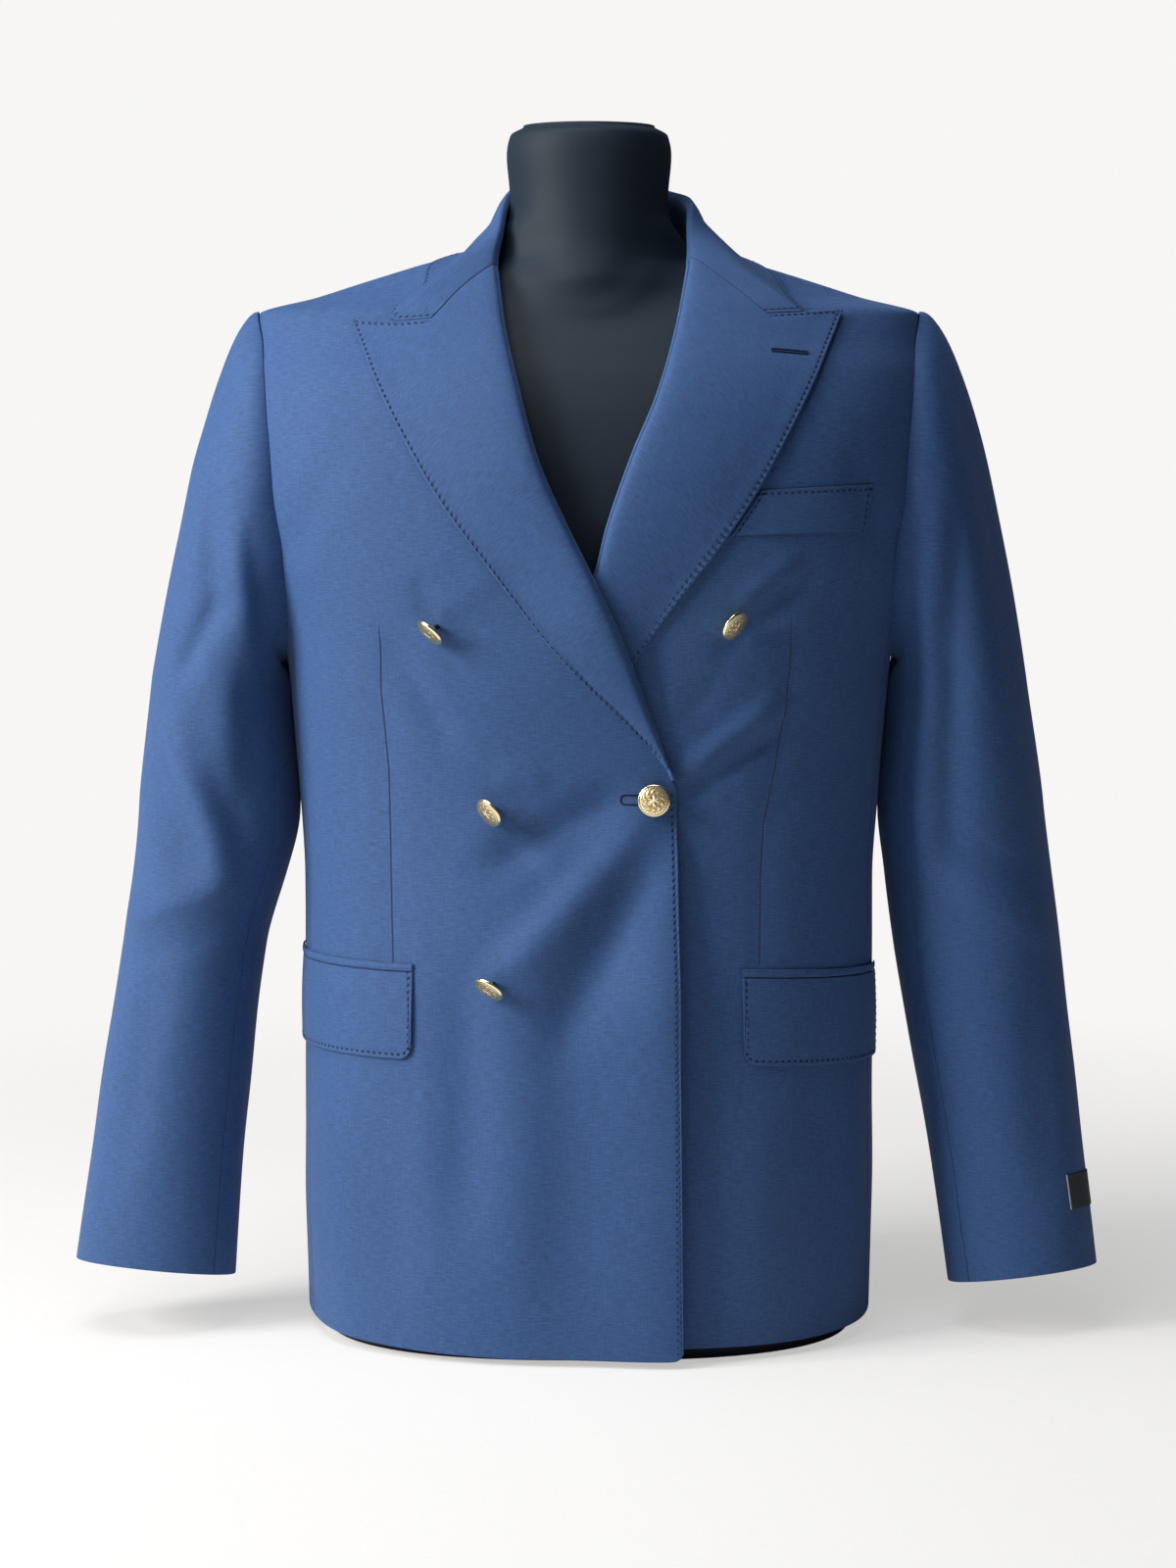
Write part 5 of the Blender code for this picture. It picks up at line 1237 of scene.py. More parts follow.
def near_cloth(made, x, z):
    """Points and normals of a piece's outer face at these (x, z) places.

    Each is the bell-weighted mean of the face round it, slid along its plane to the place.
    """
    face = made["face"].reshape(-1, 3)
    normal = made["normal"].reshape(-1, 3)
    kept = (np.abs(face[:, 0] - x.mean()) < 0.03) & (np.abs(face[:, 2] - z.mean()) < 0.03)
    kept &= normal[:, 1] < -0.3
    face, normal = face[kept], normal[kept]
    away = (face[None, :, 0] - x.reshape(-1, 1)) ** 2 + (face[None, :, 2] - z.reshape(-1, 1)) ** 2
    weight = np.exp(-away / 0.0025**2) + 1e-12
    weight = weight / weight.sum(axis=1, keepdims=True)
    mean, up = weight @ face, weight @ normal
    up = unit(up)
    lean = up[:, 0] * (x.ravel() - mean[:, 0]) + up[:, 2] * (z.ravel() - mean[:, 2])
    y = mean[:, 1] - lean / up[:, 1]
    place = np.stack([x.ravel(), y, z.ravel()], axis=-1)
    return place.reshape(*x.shape, 3), up.reshape(*x.shape, 3)


def buttonhole(name, made, start, end, look, half=0.0016):
    """A worked buttonhole: a low oval welt of thread, ribbed across, with a slit along it."""
    start, end = np.array(start), np.array(end)
    run = (end - start) / np.linalg.norm(end - start)
    long = np.linalg.norm(end - start)
    over = np.array([-run[1], run[0]])
    s, t = np.meshgrid(np.linspace(-half, long + half, 130), np.linspace(-1, 1, 17))
    beyond = np.clip(np.maximum(-s, s - long), 0, None) / half
    wide = half * np.sqrt(np.clip(1 - beyond**2, 0.0, 1))
    spot = start + run * s[..., None] + over * (t * wide)[..., None]
    place, up = near_cloth(made, spot[..., 0], spot[..., 1])
    rise = 0.0007 * np.sqrt(np.clip(1 - t**2, 0, 1)) - 0.0006 * bell(t, 0.22) * (1 - beyond)
    rise = rise + 0.00012 * np.cos(2 * np.pi * s / 0.00085) * np.clip(1 - t**2, 0, 1) - 0.0002
    face = place + up * rise[..., None]
    under = place - up * 0.0009
    points = np.concatenate([face.reshape(-1, 3), under.reshape(-1, 3)])
    return mesh_from(name, points, both_faces(*s.shape), look)


def hole_outline(name, made, start, end, look, half=0.0030, radius=0.00050):
    """The thread round a buttonhole: a tube along two straight lines joined by half circles."""
    start, end = np.array(start), np.array(end)
    run = (end - start) / np.linalg.norm(end - start)
    over = np.array([-run[1], run[0]])
    turn = np.linspace(0, np.pi, 14)[:, None]
    near = start - half * (np.sin(turn) * run - np.cos(turn) * over)
    far = end + half * (np.sin(turn) * run - np.cos(turn) * over)
    share = np.linspace(0, 1, 12)[1:-1, None]
    under = near[-1] + (far[0] - near[-1]) * share
    above = far[-1] + (near[0] - far[-1]) * share
    spot = np.concatenate([near, under, far, above])
    place, up = near_cloth(made, spot[:, 0], spot[:, 1])
    side = np.cross(unit(np.roll(place, -1, axis=0) - np.roll(place, 1, axis=0)), up)
    swing = np.linspace(0, 2 * np.pi, 10, endpoint=False)
    points = (place + up * 0.0001)[:, None] + radius * rings(side, up, swing)
    ids = np.arange(len(place) * len(swing)).reshape(-1, len(swing))
    ids = np.concatenate([ids, ids[:1]])
    return mesh_from(name, points, grid_quads(ids, wrap=True), look)


# ---------------------------------------------------------------- buttons, label and form


def button_relief(r, turn):
    """Height of the button's face: a rolled rim, a rope ring, a ring of leaves, and a rosette."""
    rim = 0.00040 * bell(r - 0.92, 0.06)
    rope = 0.00016 * bell(r - 0.77, 0.050) * (0.6 + 0.4 * np.cos(26 * turn + 20 * r))
    leaf = 0.00021 * bell(r - 0.56, 0.11) * np.clip(np.cos(10 * turn + 4 * np.sin(9 * r)), -0.3, 1)
    rosette = 0.00021 * (1 - ramp(r, 0.32, 0.44)) * np.cos(5 * turn)
    rosette = rosette * np.sin(np.pi * np.clip(r / 0.42, 0, 1))
    return rim + rope + leaf + rosette + 0.00022 * bell(r, 0.11)


def button(name, centre, face, shank, look):
    """Domed metal button: rings from the middle of its face out, round the rim, to its shank."""
    faces = np.linspace(0.02, 0.97, 40)
    turn = np.linspace(0, 2 * np.pi, 96, endpoint=False)
    dome = 0.0030 * np.sqrt(np.clip(1 - (faces * 0.96) ** 2, 0, 1)) - 0.0008
    radius = faces[:, None] + 0 * turn
    relief = button_relief(radius, turn[None, :])
    height = dome[:, None] + relief
    high = np.clip(relief / 0.00018, 0, 1)
    tail = np.array(
        ((0.995, 0.0000), (1.0, -0.0003), (0.985, -0.0007), (0.94, -BUTTON_RIM), (0.60, -0.0012),
         (0.34, -0.0014), (0.24, -0.0020), (0.20, -0.0028), (0.20, -shank))
    )
    radius = np.concatenate([radius, tail[:, :1] + 0 * turn]) * BUTTON_RADIUS
    height = np.concatenate([height, tail[:, 1:] + 0 * turn])
    high = np.append(np.concatenate([high, 1 + 0 * tail[:, :1] + 0 * turn]), (1.0, 1.0))
    points = np.stack([radius * np.cos(turn), radius * np.sin(turn), height], axis=-1)
    rows, count = radius.shape
    flat = np.concatenate([points.reshape(-1, 3), [[0, 0, height[0].mean()], [0, 0, -shank]]])
    ids = np.arange(rows * count).reshape(rows, count)
    quads = grid_quads(ids, wrap=True)[:, ::-1]
    first = kites(ids[0], rows * count)
    last = kites(ids[-1], rows * count + 1)[:, [0, 3, 2, 1]]
    quads = np.concatenate([quads, first, last])
    turned = Vector(face).to_track_quat("Z", "Y").to_matrix()
    placed = flat @ np.array(turned).T + np.array(centre)
    return mesh_from(name, placed, quads, look, marks={"high": high})


def aim(normal, row):
    """The cloth's normal, dropped towards the floor and turned about the upright."""
    face = Vector(normal)
    level = face.cross(Vector((0.0, 0.0, 1.0))).normalized()
    face = Quaternion(level, -np.radians(row["droop"])) @ face
    return Quaternion((0.0, 0.0, 1.0), np.radians(row["turn"])) @ face


SHANK_LENGTH = 0.0046
THREAD_IN = 0.0006       # how far a button's thread goes into the cloth
EYE_IN = 0.0008          # and into its shank


def stem(name, eye, face, foot, normal, look):
    """Wound thread from a button's eye to the cloth: a bent tube along a cubic between them."""
    reach = (eye - foot).length
    guides = (eye, eye - face * 0.4 * reach, foot + normal * 0.5 * reach, foot)
    t = np.linspace(0, 1, 16)[:, None]
    shares = ((1 - t) ** 3, 3 * t * (1 - t) ** 2, 3 * t**2 * (1 - t), t**3)
    line = sum(share * np.array(guide) for share, guide in zip(shares, guides))
    run = unit(np.gradient(line, axis=0))
    side = unit(np.cross(run, (0.37, 0.21, 0.90)))
    over = np.cross(run, side)
    turn = np.linspace(0, 2 * np.pi, 18, endpoint=False)
    radius = 0.00105 + 0.00016 * np.cos(7 * turn + 40 * t) + 0.0006 * ramp(t, 0.80, 1.0)
    radius = radius * np.clip(np.sin(np.pi * np.clip(t * 5, 0, 0.5)), 0.05, 1)
    points = line[:, None] + radius[..., None] * rings(side, over, turn)
    ids = np.arange(len(line) * len(turn)).reshape(-1, len(turn))
    ends = np.stack([ids[0, [0, 2, 4, 6]], ids[0, [6, 8, 10, 12]], ids[0, [12, 14, 16, 0]]])
    quads = np.concatenate([grid_quads(ids, wrap=True), ends[:, ::-1], (ends + ids[-1, 0])])
    return mesh_from(name, points, quads, look, flip=True)


def buttons(made, look, silk):
    """Every button, seated on its front and turned as it hangs, with its wound thread."""
    graph = bpy.context.evaluated_depsgraph_get()
    found = {}
    for row in named(BUTTONS, BUTTON_COLUMNS):
        side = -1 if row["front"] == "right" else 1
        x = np.array([row["across"]])
        z = np.array([row["height"]])
        normal = Vector(outward(front_angle(x, z), z)[0])
        face = aim(normal, row)
        tilt = normal.angle(face)
        rim_clears = BUTTON_RADIUS * np.sin(tilt) + BUTTON_RIM * np.cos(tilt) + 2 * LAY
        lift = max(rim_clears, PRESSED_LIFT if row["front"] == "under" else BUTTON_LIFT)
        centre = Vector(on_front(side, x, z, 0 * x)[0]) + normal * lift
        front = made["front_right" if side < 0 else "front_left"]["object"]
        tree = BVHTree.FromObject(front, graph)
        shank = min(SHANK_LENGTH, tree.ray_cast(centre, -face)[3] - THREAD_IN)
        eye = centre - face * (shank - EYE_IN)
        foot = tree.ray_cast(eye, -normal)[0] - normal * THREAD_IN
        name = f"button_{row['name']}"
        found[name] = {"object": button(f"{name}_gilt", centre, face, shank, look)}
        found[name]["stem"] = stem(f"{name}_stem", eye, face, foot, normal, silk)
    return found


# Where the label lies: from this turn back over so many degrees, and up from this share.
LABEL = {"turn": 50.0, "over": 62.0, "foot": 0.905, "up": 0.055}
LABEL_GRID = {"wide": 0.058, "high": 0.030, "cell": 0.002}


def label(look):
    """A small bare label round the outside of the left sleeve, just above the cuff."""
    turn, share = np.meshgrid(
        LABEL["turn"] - LABEL["over"] * spaced(LABEL_GRID["wide"], LABEL_GRID["cell"]),
        LABEL["foot"] - LABEL["up"] * spaced(LABEL_GRID["high"], LABEL_GRID["cell"]),
    )
    row = CAP_ROWS + share * (SLEEVE_ROWS - CAP_ROWS)
    base = sleeve_point("left", turn % 360.0, row)
    normal = grid_normal(base)
    middle = base + normal * (WALL / 2 + 0.0006)
    return shell("sleeve_label_weave", middle, 0.0005, look, False)


FORM_COLUMNS = ("height", "inset")
FORM_INSET = (
    (0.000, 0.0130),
    (0.100, 0.0140),
    (0.360, 0.0090),
    (0.500, 0.0110),
    (0.600, 0.0100),
    (0.650, 0.0082),
    (0.669, 0.0075),
    (0.709, 0.0072),
    (0.740, 0.0078),
)
NECK_COLUMNS = ("height", "half_width", "front", "back")
NECK = (
    (0.690, 0.0600, 0.066, 0.060),
    (0.715, 0.0535, 0.056, 0.056),
    (0.745, 0.0520, 0.051, 0.054),
    (0.772, 0.0540, 0.050, 0.055),
    (0.785, 0.0515, 0.047, 0.053),
    (0.790, 0.0430, 0.038, 0.044),
)
NECK_TOP = 0.7912


def form_rings(height, angle):
    """Torso rings inset from the cloth, blended softly with the neck's rings by the larger."""
    turn = np.radians(angle)
    inset = smooth(FORM_INSET, FORM_COLUMNS, "inset", height)
    level = height + 0 * angle
    for _ in range(5):
        level = np.clip(height + inset * outward(angle, level)[..., 2], 0.001, 0.736)
    torso = plain_body(angle, level) - outward(angle, level) * inset[..., None]
    half_width, front, back = [
        smooth(NECK, NECK_COLUMNS, name, height) for name in NECK_COLUMNS[1:]
    ]
    depth = np.where(np.cos(turn) >= 0, front, back)
    neck = np.stack([half_width * np.sin(turn), 0.006 - depth * np.cos(turn), height], axis=-1)
    wide = np.hypot(neck[..., 0], neck[..., 1]) - np.hypot(torso[..., 0], torso[..., 1])
    share = ramp(wide, -0.022, 0.022) * ramp(height, 0.640, 0.675)
    share = share + (1 - share) * ramp(height, 0.715, 0.735)
    mixed = torso + (neck - torso) * share[..., None]
    round_out = 4 * share * (1 - share) * np.clip(1 - np.abs(wide) / 0.022, 0, 1)
    mixed = mixed + 0.0035 * (round_out * ramp(np.cos(turn), 0.0, 0.5))[..., None] * np.stack(
        [np.sin(turn), -np.cos(turn), 0 * turn], axis=-1
    )
    mixed[..., 2] = height
    return mixed


def dress_form(look):
    """The form: one closed skin of rings, with a flat base and a plain neck."""
    count = 132
    heights = np.concatenate([
        [0.0, 0.0006], np.linspace(0.002, 0.62, 84), np.linspace(0.626, 0.70, 26),
        np.linspace(0.7025, 0.782, 30), np.linspace(0.784, NECK_TOP, 8),
    ])
    angle, height = np.meshgrid(np.linspace(-180.0, 180.0, count, endpoint=False), heights)
    skin = form_rings(height, angle)
    ids = np.arange(height.size).reshape(-1, count)
    caps = [kites(ids[0], ids.size)[:, ::-1], kites(ids[-1], ids.size + 1)]
    quads = np.concatenate([grid_quads(ids, wrap=True), *caps])
    middles = np.array([[0.0, 0.0, 0.0], [0.0, 0.010, NECK_TOP + 0.0002]])
    points = np.concatenate([skin.reshape(-1, 3), middles])
    return mesh_from("dress_form_jersey", points, quads, look)


# ---------------------------------------------------------------- finishes


def add(tree, kind, **settings):
    """A new node of this kind with its settings."""
    node = tree.nodes.new(kind)
    for name, value in settings.items():
        setattr(node, name, value)
    return node


def maths(tree, operation, *values):
    """Result of a sum on numbers or sockets."""
    node = add(tree, "ShaderNodeMath", operation=operation)
    for socket, value in zip(node.inputs, values):
        if isinstance(value, (int, float)):
            socket.default_value = value
        else:
            tree.links.new(value, socket)
    return node.outputs[0]


def times(tree, *values):
    """Product of two numbers or sockets."""
    return maths(tree, "MULTIPLY", *values)


def plus(tree, *values):
    """Sum of two numbers or sockets."""
    return maths(tree, "ADD", *values)


def less(tree, *values):
    """The first number or socket less the second."""
    return maths(tree, "SUBTRACT", *values)


def mark(tree, name):
    """One of the marks that a mesh carries."""
    return add(tree, "ShaderNodeAttribute", attribute_name=name).outputs["Fac"]


def settle(shader, settings):
    """Give a shader's sockets these values."""
    for socket, value in settings.items():
        shader.inputs[socket].default_value = value


def noise(tree, where, scale, detail=2.0, rough=0.5):
    """Cloudy noise of this scale."""
    node = add(tree, "ShaderNodeTexNoise")
    settle(node, {"Scale": scale, "Detail": detail, "Roughness": rough})
    tree.links.new(where, node.inputs["Vector"])
    return node.outputs["Fac"]


def stretched(tree, where, scale):
    """The same places, scaled along each axis."""
    node = add(tree, "ShaderNodeMapping")
    node.inputs["Scale"].default_value = scale
    tree.links.new(where, node.inputs["Vector"])
    return node.outputs[0]


def group(name, inputs, outputs):
    """Empty shader node group with named sockets."""
    tree = bpy.data.node_groups.new(name, "ShaderNodeTree")
    for socket, kind in inputs:
        tree.interface.new_socket(socket, in_out="INPUT", socket_type=kind)
    for socket, kind in outputs:
        tree.interface.new_socket(socket, in_out="OUTPUT", socket_type=kind)
    return tree, tree.nodes.new("NodeGroupInput"), tree.nodes.new("NodeGroupOutput")


def weave_group():
    """Fine suiting: warp and weft threads, a slub that runs along the weft, and a soft nap."""
    tree, into, out = group(
        "suiting_weave",
        (("Cloth", "NodeSocketVector"), ("Threads", "NodeSocketFloat")),
        (("Height", "NodeSocketFloat"), ("Shade", "NodeSocketFloat")),
    )
    where = into.outputs["Cloth"]
    parts = add(tree, "ShaderNodeSeparateXYZ")
    tree.links.new(where, parts.inputs[0])
    pace = times(tree, into.outputs["Threads"], 2 * np.pi)
    warp = maths(tree, "SINE", times(tree, parts.outputs[0], pace))
    weft = maths(tree, "SINE", times(tree, parts.outputs[1], pace))
    cross = times(tree, warp, weft)
    slub = noise(tree, stretched(tree, where, (130.0, 1500.0, 1.0)), 1.0, 2.0, 0.6)
    warp_slub = noise(tree, stretched(tree, where, (1500.0, 90.0, 1.0)), 1.0, 1.0, 0.5)
    nap = noise(tree, where, 420.0, 3.0, 0.6)
    height = plus(tree, times(tree, cross, 0.5), times(tree, slub, 1.2))
    height = plus(tree, height, times(tree, nap, 0.6))
    shade = plus(tree, times(tree, slub, 0.62), times(tree, warp_slub, 0.22))
    shade = plus(tree, shade, times(tree, nap, 0.16))
    tree.links.new(height, out.inputs["Height"])
    tree.links.new(shade, out.inputs["Shade"])
    return tree


def blended(tree, share, low, high):
    """Colour from low to high, each a colour or a socket, by share."""
    node = add(tree, "ShaderNodeMix", data_type="RGBA")
    tree.links.new(share, node.inputs["Factor"])
    for socket, colour in zip((node.inputs[6], node.inputs[7]), (low, high)):
        if isinstance(colour, tuple):
            socket.default_value = (*colour, 1.0)
        else:
            tree.links.new(colour, socket)
    return node.outputs[2]


def between(tree, value, low, high):
    """0 below low, 1 above high, smooth between them."""
    node = add(tree, "ShaderNodeMapRange", interpolation_type="SMOOTHSTEP")
    settle(node, {"From Min": low, "From Max": high})
    tree.links.new(value, node.inputs["Value"])
    return node.outputs[0]


def finish_of(name):
    """New material, with its node tree and its shader."""
    look = bpy.data.materials.new(name)
    look.use_nodes = True
    tree = look.node_tree
    return look, tree, tree.nodes["Principled BSDF"]


def raised(tree, shader, height, distance, strength=1.0, under=None):
    """Relief from a height, over another relief where one is given."""
    node = add(tree, "ShaderNodeBump")
    settle(node, {"Distance": distance, "Strength": strength})
    tree.links.new(height, node.inputs["Height"])
    if under is not None:
        tree.links.new(under, node.inputs["Normal"])
    if shader is not None:
        tree.links.new(node.outputs[0], shader.inputs["Normal"])
    return node.outputs[0]


WOOL_DEEP = (0.013, 0.045, 0.138)
WOOL_LIT = (0.031, 0.093, 0.250)


def wool(weave):
    """Blue suiting: darts are fine sunk lines and stitches sunk dots, each with painted shade, and
    every rim gets a little painted shade within a millimetre of its edge.
    """
    look, tree, shader = finish_of("blue_suiting")
    where = add(tree, "ShaderNodeUVMap", uv_map="cloth").outputs[0]
    cloth = add(tree, "ShaderNodeGroup", node_tree=weave)
    tree.links.new(where, cloth.inputs["Cloth"])
    cloth.inputs["Threads"].default_value = 1500.0
    dart = mark(tree, "dart")
    depth = mark(tree, "dart_depth")
    edge = mark(tree, "edge")
    # painted shade: the cloth's colour is darkened along the dart line, where its groove lies in
    # shade
    line = less(tree, 1.0, between(tree, maths(tree, "ABSOLUTE", dart), 0.0001, 0.0011))
    line = times(tree, line, depth)
    # painted shade: the colour darkens within a millimetre of every piece's edge, where seams and
    # rims lie in shade
    seam = less(tree, 1.0, between(tree, edge, 0.0, 0.0010))
    sewn = mark(tree, "sewn")
    run = mark(tree, "stitch_run")
    wave = maths(tree, "COSINE", times(tree, run, 2 * np.pi))
    # painted shade: dark dots where the pick stitches pull the cloth into dimples; the same mask
    # also sinks them in the bump below
    stitch_dimple_and_shade = times(tree, between(tree, sewn, 0.15, 0.9), between(tree, wave, -0.35, 0.70))
    cloudy = noise(tree, stretched(tree, where, (14.0, 9.0, 1.0)), 1.0, 3.0, 0.55)
    woven = between(tree, cloth.outputs["Shade"], 0.30, 0.72)
    shade = plus(tree, woven, times(tree, cloudy, 0.25))
    colour = blended(tree, less(tree, shade, 0.12), WOOL_DEEP, WOOL_LIT)
    # dark says how much painted shade the dart lines, rims and stitch dots get; the near-black
    # blue below is that painted shade
    dark = maths(tree, "MAXIMUM", times(tree, line, 0.60), times(tree, seam, 0.34))
    dark = maths(tree, "MAXIMUM", dark, times(tree, stitch_dimple_and_shade, 0.58))
    colour = blended(tree, dark, colour, (0.006, 0.014, 0.045))
    tree.links.new(colour, shader.inputs["Base Color"])
    rough = plus(tree, 0.60, times(tree, cloth.outputs["Shade"], 0.18))
    tree.links.new(rough, shader.inputs["Roughness"])
    sunk = raised(tree, None, times(tree, plus(tree, line, stitch_dimple_and_shade), -1.0), 0.0006)
    raised(tree, shader, cloth.outputs["Height"], 0.00012, 0.8, sunk)
    settle(shader, {
        "Specular IOR Level": 0.38, "Sheen Weight": 0.22, "Sheen Roughness": 0.45,
        "Sheen Tint": (0.42, 0.58, 0.95, 1.0),
    })
    return look


def thread(name, deep, lit):
    """Silk sewing thread: dark, with a little twist in its shade."""
    look, tree, shader = finish_of(name)
    where = add(tree, "ShaderNodeTexCoord").outputs["Object"]
    twist = noise(tree, where, 1800.0, 2.0)
    tree.links.new(blended(tree, twist, deep, lit), shader.inputs["Base Color"])
    raised(tree, shader, twist, 0.0001, 0.6)
    settle(shader, {"Roughness": 0.60, "Specular IOR Level": 0.15})
    return look


def gilt():
    """Polished gilt brass with darker metal left low in the relief and faint rubbing."""
    look, tree, shader = finish_of("gilt_brass")
    where = add(tree, "ShaderNodeTexCoord").outputs["Object"]
    worn = noise(tree, where, 900.0, 4.0, 0.6)
    high = mark(tree, "high")
    low = less(tree, 1.0, between(tree, high, 0.10, 0.65))
    bright = blended(tree, worn, (0.95, 0.78, 0.42), (1.00, 0.90, 0.60))
    dark = blended(tree, times(tree, low, 0.72), bright, (0.30, 0.19, 0.06))
    tree.links.new(dark, shader.inputs["Base Color"])
    rough = plus(tree, 0.13, times(tree, worn, 0.16))
    rough = plus(tree, rough, times(tree, low, 0.25))
    tree.links.new(rough, shader.inputs["Roughness"])
    raised(tree, shader, worn, 0.00008, 0.7)
    shader.inputs["Metallic"].default_value = 1.0
    return look


def label_weave():
    """Black woven label with a pale selvedge along its front end."""
    look, tree, shader = finish_of("label_satin")
    where = add(tree, "ShaderNodeUVMap", uv_map="cloth").outputs[0]
    parts = add(tree, "ShaderNodeSeparateXYZ")
    tree.links.new(where, parts.inputs[0])
    ribs = maths(tree, "SINE", times(tree, parts.outputs[1], 2 * np.pi / 0.0005))
    mottle = noise(tree, stretched(tree, where, (400.0, 2400.0, 1.0)), 1.0, 2.0)
    black = blended(tree, mottle, (0.006, 0.007, 0.010), (0.020, 0.021, 0.026))
    selvedge = less(tree, 1.0, between(tree, parts.outputs[0], 0.0007, 0.0012))
    colour = blended(tree, selvedge, black, (0.42, 0.43, 0.45))
    tree.links.new(colour, shader.inputs["Base Color"])
    raised(tree, shader, ribs, 0.00006, 0.8)
    shader.inputs["Roughness"].default_value = 0.55
    return look


def jersey():
    """Black knitted cover of the dress form, with a faint cool bloom."""
    look, tree, shader = finish_of("black_jersey")
    where = add(tree, "ShaderNodeTexCoord").outputs["Object"]
    knit = noise(tree, stretched(tree, where, (1400.0, 1400.0, 500.0)), 1.0, 2.0)
    cloudy = noise(tree, where, 9.0, 3.0)
    shade = plus(tree, times(tree, knit, 0.5), times(tree, cloudy, 0.5))
    colour = blended(tree, shade, (0.0052, 0.0108, 0.0175), (0.0108, 0.0215, 0.0345))
    tree.links.new(colour, shader.inputs["Base Color"])
    raised(tree, shader, knit, 0.00010, 0.5)
    settle(shader, {
        "Roughness": 0.62, "Specular IOR Level": 0.20, "Sheen Weight": 0.05,
        "Sheen Tint": (0.45, 0.60, 0.85, 1.0),
    })
    return look


# ---------------------------------------------------------------- studio

PAPER = (0.930, 0.922, 0.905)
CAMERA_PLACE = (-0.0007, -2.20, 0.593)
CAMERA_DIP = 6.08        # degrees below the level
AIM = (0.0, 0.0, 0.42)   # where every lamp points
LIGHT_COLUMNS = ("name", "place", "wide", "high", "power", "colour")
LIGHTS = (
    ("key", (-2.42, -1.10, 1.55), 1.2, 1.5, 122.0, (1.0, 0.985, 0.96)),
    ("fill", (0.30, -2.80, 1.20), 1.8, 1.8, 1.2, (0.74, 0.82, 1.0)),
    ("top", (-0.55, -0.45, 2.50), 1.4, 1.4, 34.0, (0.94, 0.96, 1.0)),
)
FLOOR_REACH = 9.0


def studio():
    """Pale floor that fades into the same pale surround, a soft key from the left, two fills."""
    camera = bpy.data.cameras.new("camera")
    camera.lens = 76.16
    camera.sensor_width = 36.0
    camera.clip_start = 0.05
    camera.clip_end = 60.0
    eye = bpy.data.objects.new("camera", camera)
    eye.location = CAMERA_PLACE
    eye.rotation_euler = (np.radians(90.0 - CAMERA_DIP), 0.0, 0.0)
    bpy.context.scene.collection.objects.link(eye)
    bpy.context.scene.camera = eye
    for row in named(LIGHTS, LIGHT_COLUMNS):
        lamp = bpy.data.lights.new(row["name"], "AREA")
        lamp.shape = "RECTANGLE"
        lamp.size = row["wide"]
        lamp.size_y = row["high"]
        lamp.energy = row["power"]
        lamp.color = row["colour"]
        held = bpy.data.objects.new(row["name"], lamp)
        held.location = row["place"]
        ray = Vector(AIM) - Vector(row["place"])
        held.rotation_euler = ray.to_track_quat("-Z", "Y").to_euler()
        bpy.context.scene.collection.objects.link(held)
    world = bpy.data.worlds.new("surround")
    bpy.context.scene.world = world
    world.use_nodes = True
    tree = world.node_tree
    seen = tree.nodes["Background"]
    seen.inputs[0].default_value = (*PAPER, 1.0)
    dim = add(tree, "ShaderNodeBackground")
    dim.inputs[0].default_value = (0.66, 0.75, 1.0, 1.0)
    dim.inputs[1].default_value = 0.036
    mix = add(tree, "ShaderNodeMixShader")
    path = add(tree, "ShaderNodeLightPath")
    tree.links.new(path.outputs["Is Camera Ray"], mix.inputs[0])
    tree.links.new(dim.outputs[0], mix.inputs[1])
    tree.links.new(seen.outputs[0], mix.inputs[2])
    tree.links.new(mix.outputs[0], tree.nodes["World Output"].inputs[0])

    look, tree, shader = finish_of("pale_floor")
    where = add(tree, "ShaderNodeTexCoord").outputs["Object"]
    far = add(tree, "ShaderNodeVectorMath", operation="LENGTH")
    tree.links.new(where, far.inputs[0])
    fade = between(tree, far.outputs["Value"], 0.45, 1.30)
    fleck = noise(tree, where, 60.0, 3.0)
    colour = blended(tree, fleck, (0.86, 0.85, 0.83), (0.89, 0.88, 0.86))
    tree.links.new(colour, shader.inputs["Base Color"])
    shader.inputs["Roughness"].default_value = 0.9
    glow = add(tree, "ShaderNodeEmission")
    glow.inputs[0].default_value = (*PAPER, 1.0)
    mix = add(tree, "ShaderNodeMixShader")
    seen = add(tree, "ShaderNodeLightPath").outputs["Is Camera Ray"]
    glowing = plus(tree, times(tree, fade, 0.45), 0.55)
    tree.links.new(times(tree, glowing, seen), mix.inputs[0])
    tree.links.new(shader.outputs[0], mix.inputs[1])
    tree.links.new(glow.outputs[0], mix.inputs[2])
    tree.links.new(mix.outputs[0], tree.nodes["Material Output"].inputs["Surface"])
    corners = FLOOR_REACH * np.array([[-1, -1, 0], [1, -1, 0], [1, 1, 0], [-1, 1, 0]])
    mesh_from("floor", corners, [[0, 1, 2, 3]], look)
    bpy.context.scene.view_settings.view_transform = "Standard"
    bpy.context.scene.view_settings.look = "None"


# ---------------------------------------------------------------- the blazer

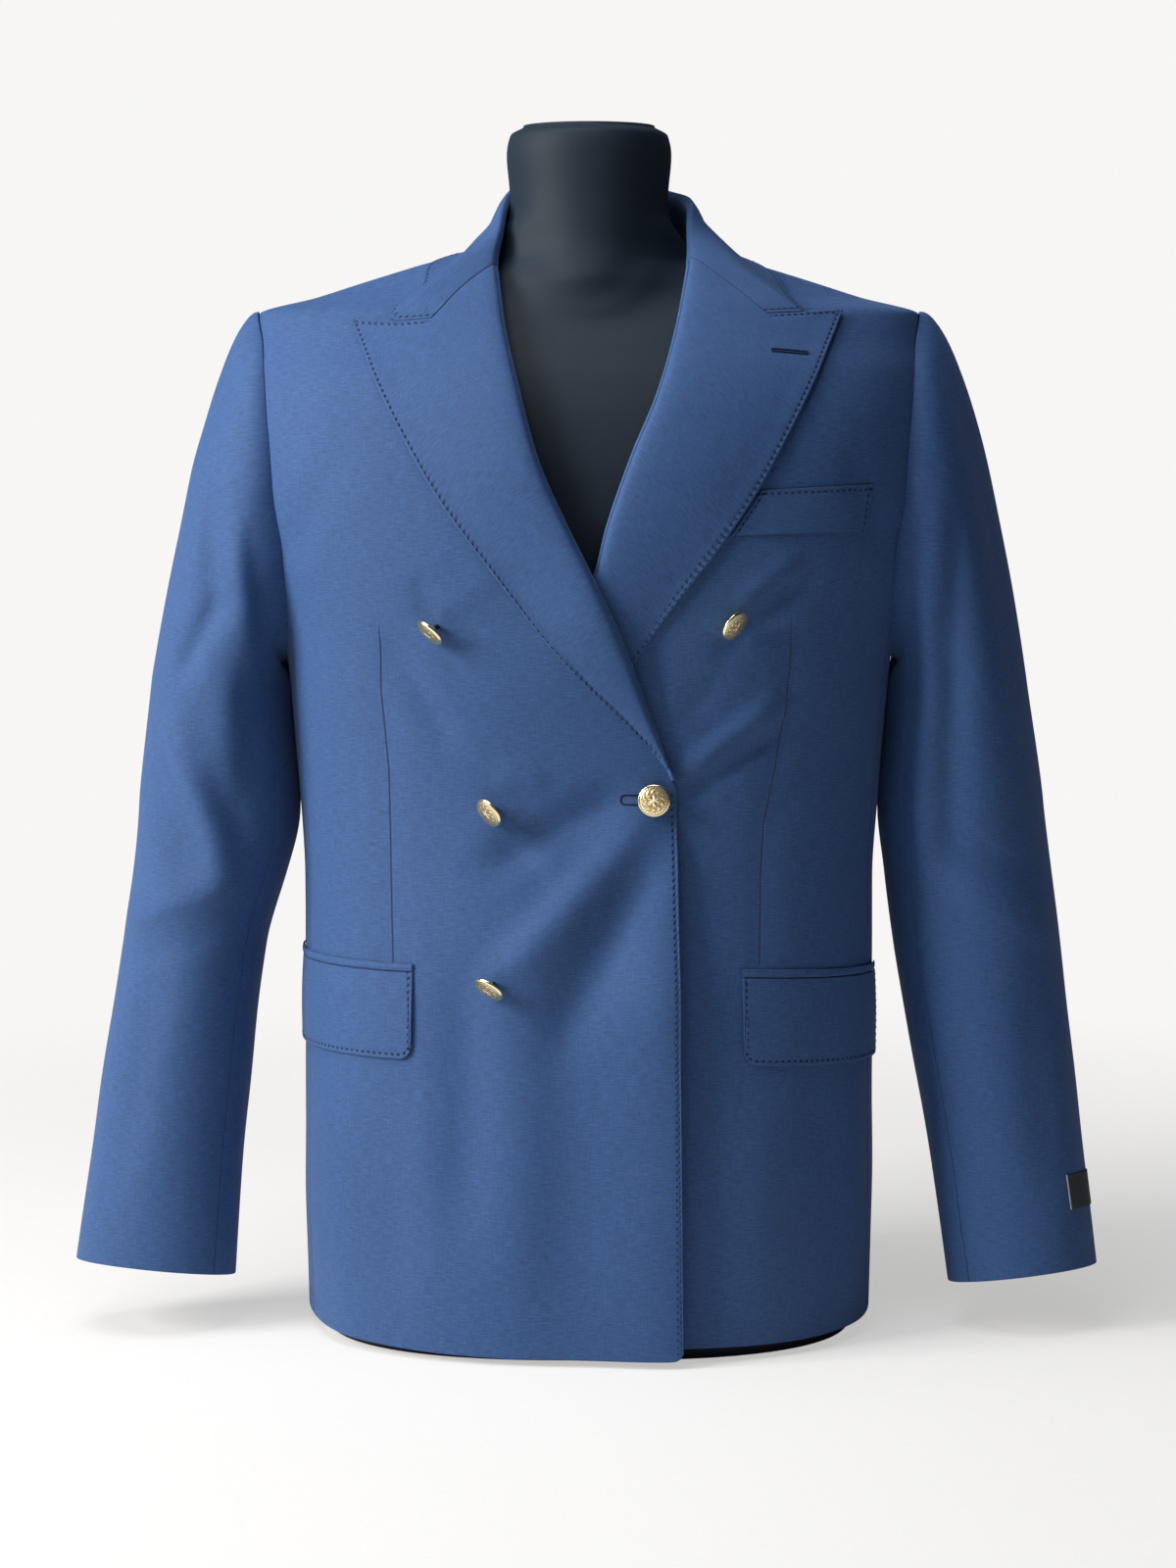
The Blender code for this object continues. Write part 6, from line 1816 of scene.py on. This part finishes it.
# Cut of what shows of each cloth piece: width, length and flat area.
CUT_COLUMNS = ("node", "width", "length", "area", "rests_on")
CUTS = (
    ("front_right", 0.300, 0.730, 0.162, "dress_form"),
    ("front_left", 0.300, 0.730, 0.162, "dress_form"),
    ("side_panel_right", 0.125, 0.490, 0.048, "dress_form"),
    ("side_panel_left", 0.125, 0.490, 0.048, "dress_form"),
    ("back_right", 0.235, 0.745, 0.135, "dress_form"),
    ("back_left", 0.235, 0.745, 0.135, "dress_form"),
    ("top_sleeve_right", 0.270, 0.660, 0.140, "front_right"),
    ("top_sleeve_left", 0.270, 0.660, 0.140, "front_left"),
    ("under_sleeve_right", 0.110, 0.500, 0.040, "side_panel_right"),
    ("under_sleeve_left", 0.110, 0.500, 0.040, "side_panel_left"),
    ("lapel_right", 0.110, 0.360, 0.022, "front_right"),
    ("lapel_left", 0.110, 0.300, 0.020, "front_left"),
    ("collar", 0.085, 0.480, 0.033, "back_right"),
    ("breast_welt", 0.090, 0.030, 0.0025, "front_left"),
    ("flap_right", 0.145, 0.056, 0.0080, "front_right"),
    ("flap_left", 0.145, 0.056, 0.0080, "front_left"),
    ("jetting_right", 0.145, 0.010, 0.00075, "front_right"),
    ("jetting_left", 0.145, 0.010, 0.00075, "front_left"),
    ("sleeve_label", 0.055, 0.030, 0.0016, "top_sleeve_left"),
)
LAPEL_HOLE = ((0.1166, 0.6438), (0.1379, 0.6421))          # from end to end, as (across, height)
FRONT_HOLE = ((0.0228, 0.3612), (0.0300, 0.3612))
FLAP_EDGES = ("start", "bottom", "end")
WELT_EDGES = ("start", "top", "end")


def edge_line(made, edge, first=0, last=None):
    """The line of a piece's face that stands STITCH_IN inside one of its edges."""
    place = {
        "end": np.s_[:, -1 - IN_ROW],
        "start": np.s_[:, IN_ROW],
        "top": np.s_[-1 - IN_ROW, :],
        "bottom": np.s_[IN_ROW, :],
    }[edge]
    reach = made["reach"][RUNS_ALONG[edge]][place]
    return stitch_row(made["face"][place], made["normal"][place], reach, first, last)


def lapel_rows(made):
    """Stitches up a lapel's outer edge and along the top of its peak."""
    in_end = -2 - IN_ROW
    return [edge_line(made, "end", 14, in_end), edge_line(made, "top", made["peak_from"], in_end)]


def main():
    """Build everything."""
    studio()
    cloth = wool(weave_group())
    silk = thread("dark_thread", (0.003, 0.006, 0.020), (0.008, 0.016, 0.046))
    made = panels(cloth)
    made.update(sleeves(cloth))
    for side, name in SIDE_NAMES.items():
        made[f"lapel_{name}"] = lapel(side, cloth)
    made["collar"] = collar(cloth)
    made.update(pockets(cloth))
    made["breast_welt"] = welt(cloth)
    brass = gilt()
    made.update(buttons(made, brass, silk))
    made["sleeve_label"] = label(label_weave())
    made["dress_form"] = {"object": dress_form(jersey())}
    for node, piece in made.items():
        if "stem" in piece:
            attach(piece["stem"], "root")
        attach(piece["object"], "root")
        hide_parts(node)
    half = len(made["front_right"]["face"]) // 2
    sewing = {
        "lapel_right_stitches": lapel_rows(made["lapel_right"]),
        "lapel_left_stitches": lapel_rows(made["lapel_left"]),
        "collar_stitches": [edge_line(made["collar"], "end", 4, -4)],
        "front_edge_stitches": [edge_line(made["front_right"], "start", 8, half)],
        "flap_right_stitches": [edge_line(made["flap_right"], edge) for edge in FLAP_EDGES],
        "flap_left_stitches": [edge_line(made["flap_left"], edge) for edge in FLAP_EDGES],
        "welt_stitches": [edge_line(made["breast_welt"], edge) for edge in WELT_EDGES],
    }
    for name, rows in sewing.items():
        piece = stitches(name, rows, silk)
        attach(piece, "root")
    hole = buttonhole("lapel_buttonhole", made["lapel_left"], *LAPEL_HOLE, silk)
    fastening = hole_outline("front_buttonhole", made["front_right"], *FRONT_HOLE, silk)
    for piece in (hole, fastening):
        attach(piece, "root")
    for cut in named(CUTS, CUT_COLUMNS):
        piece = made[cut["node"]]["object"]


main()
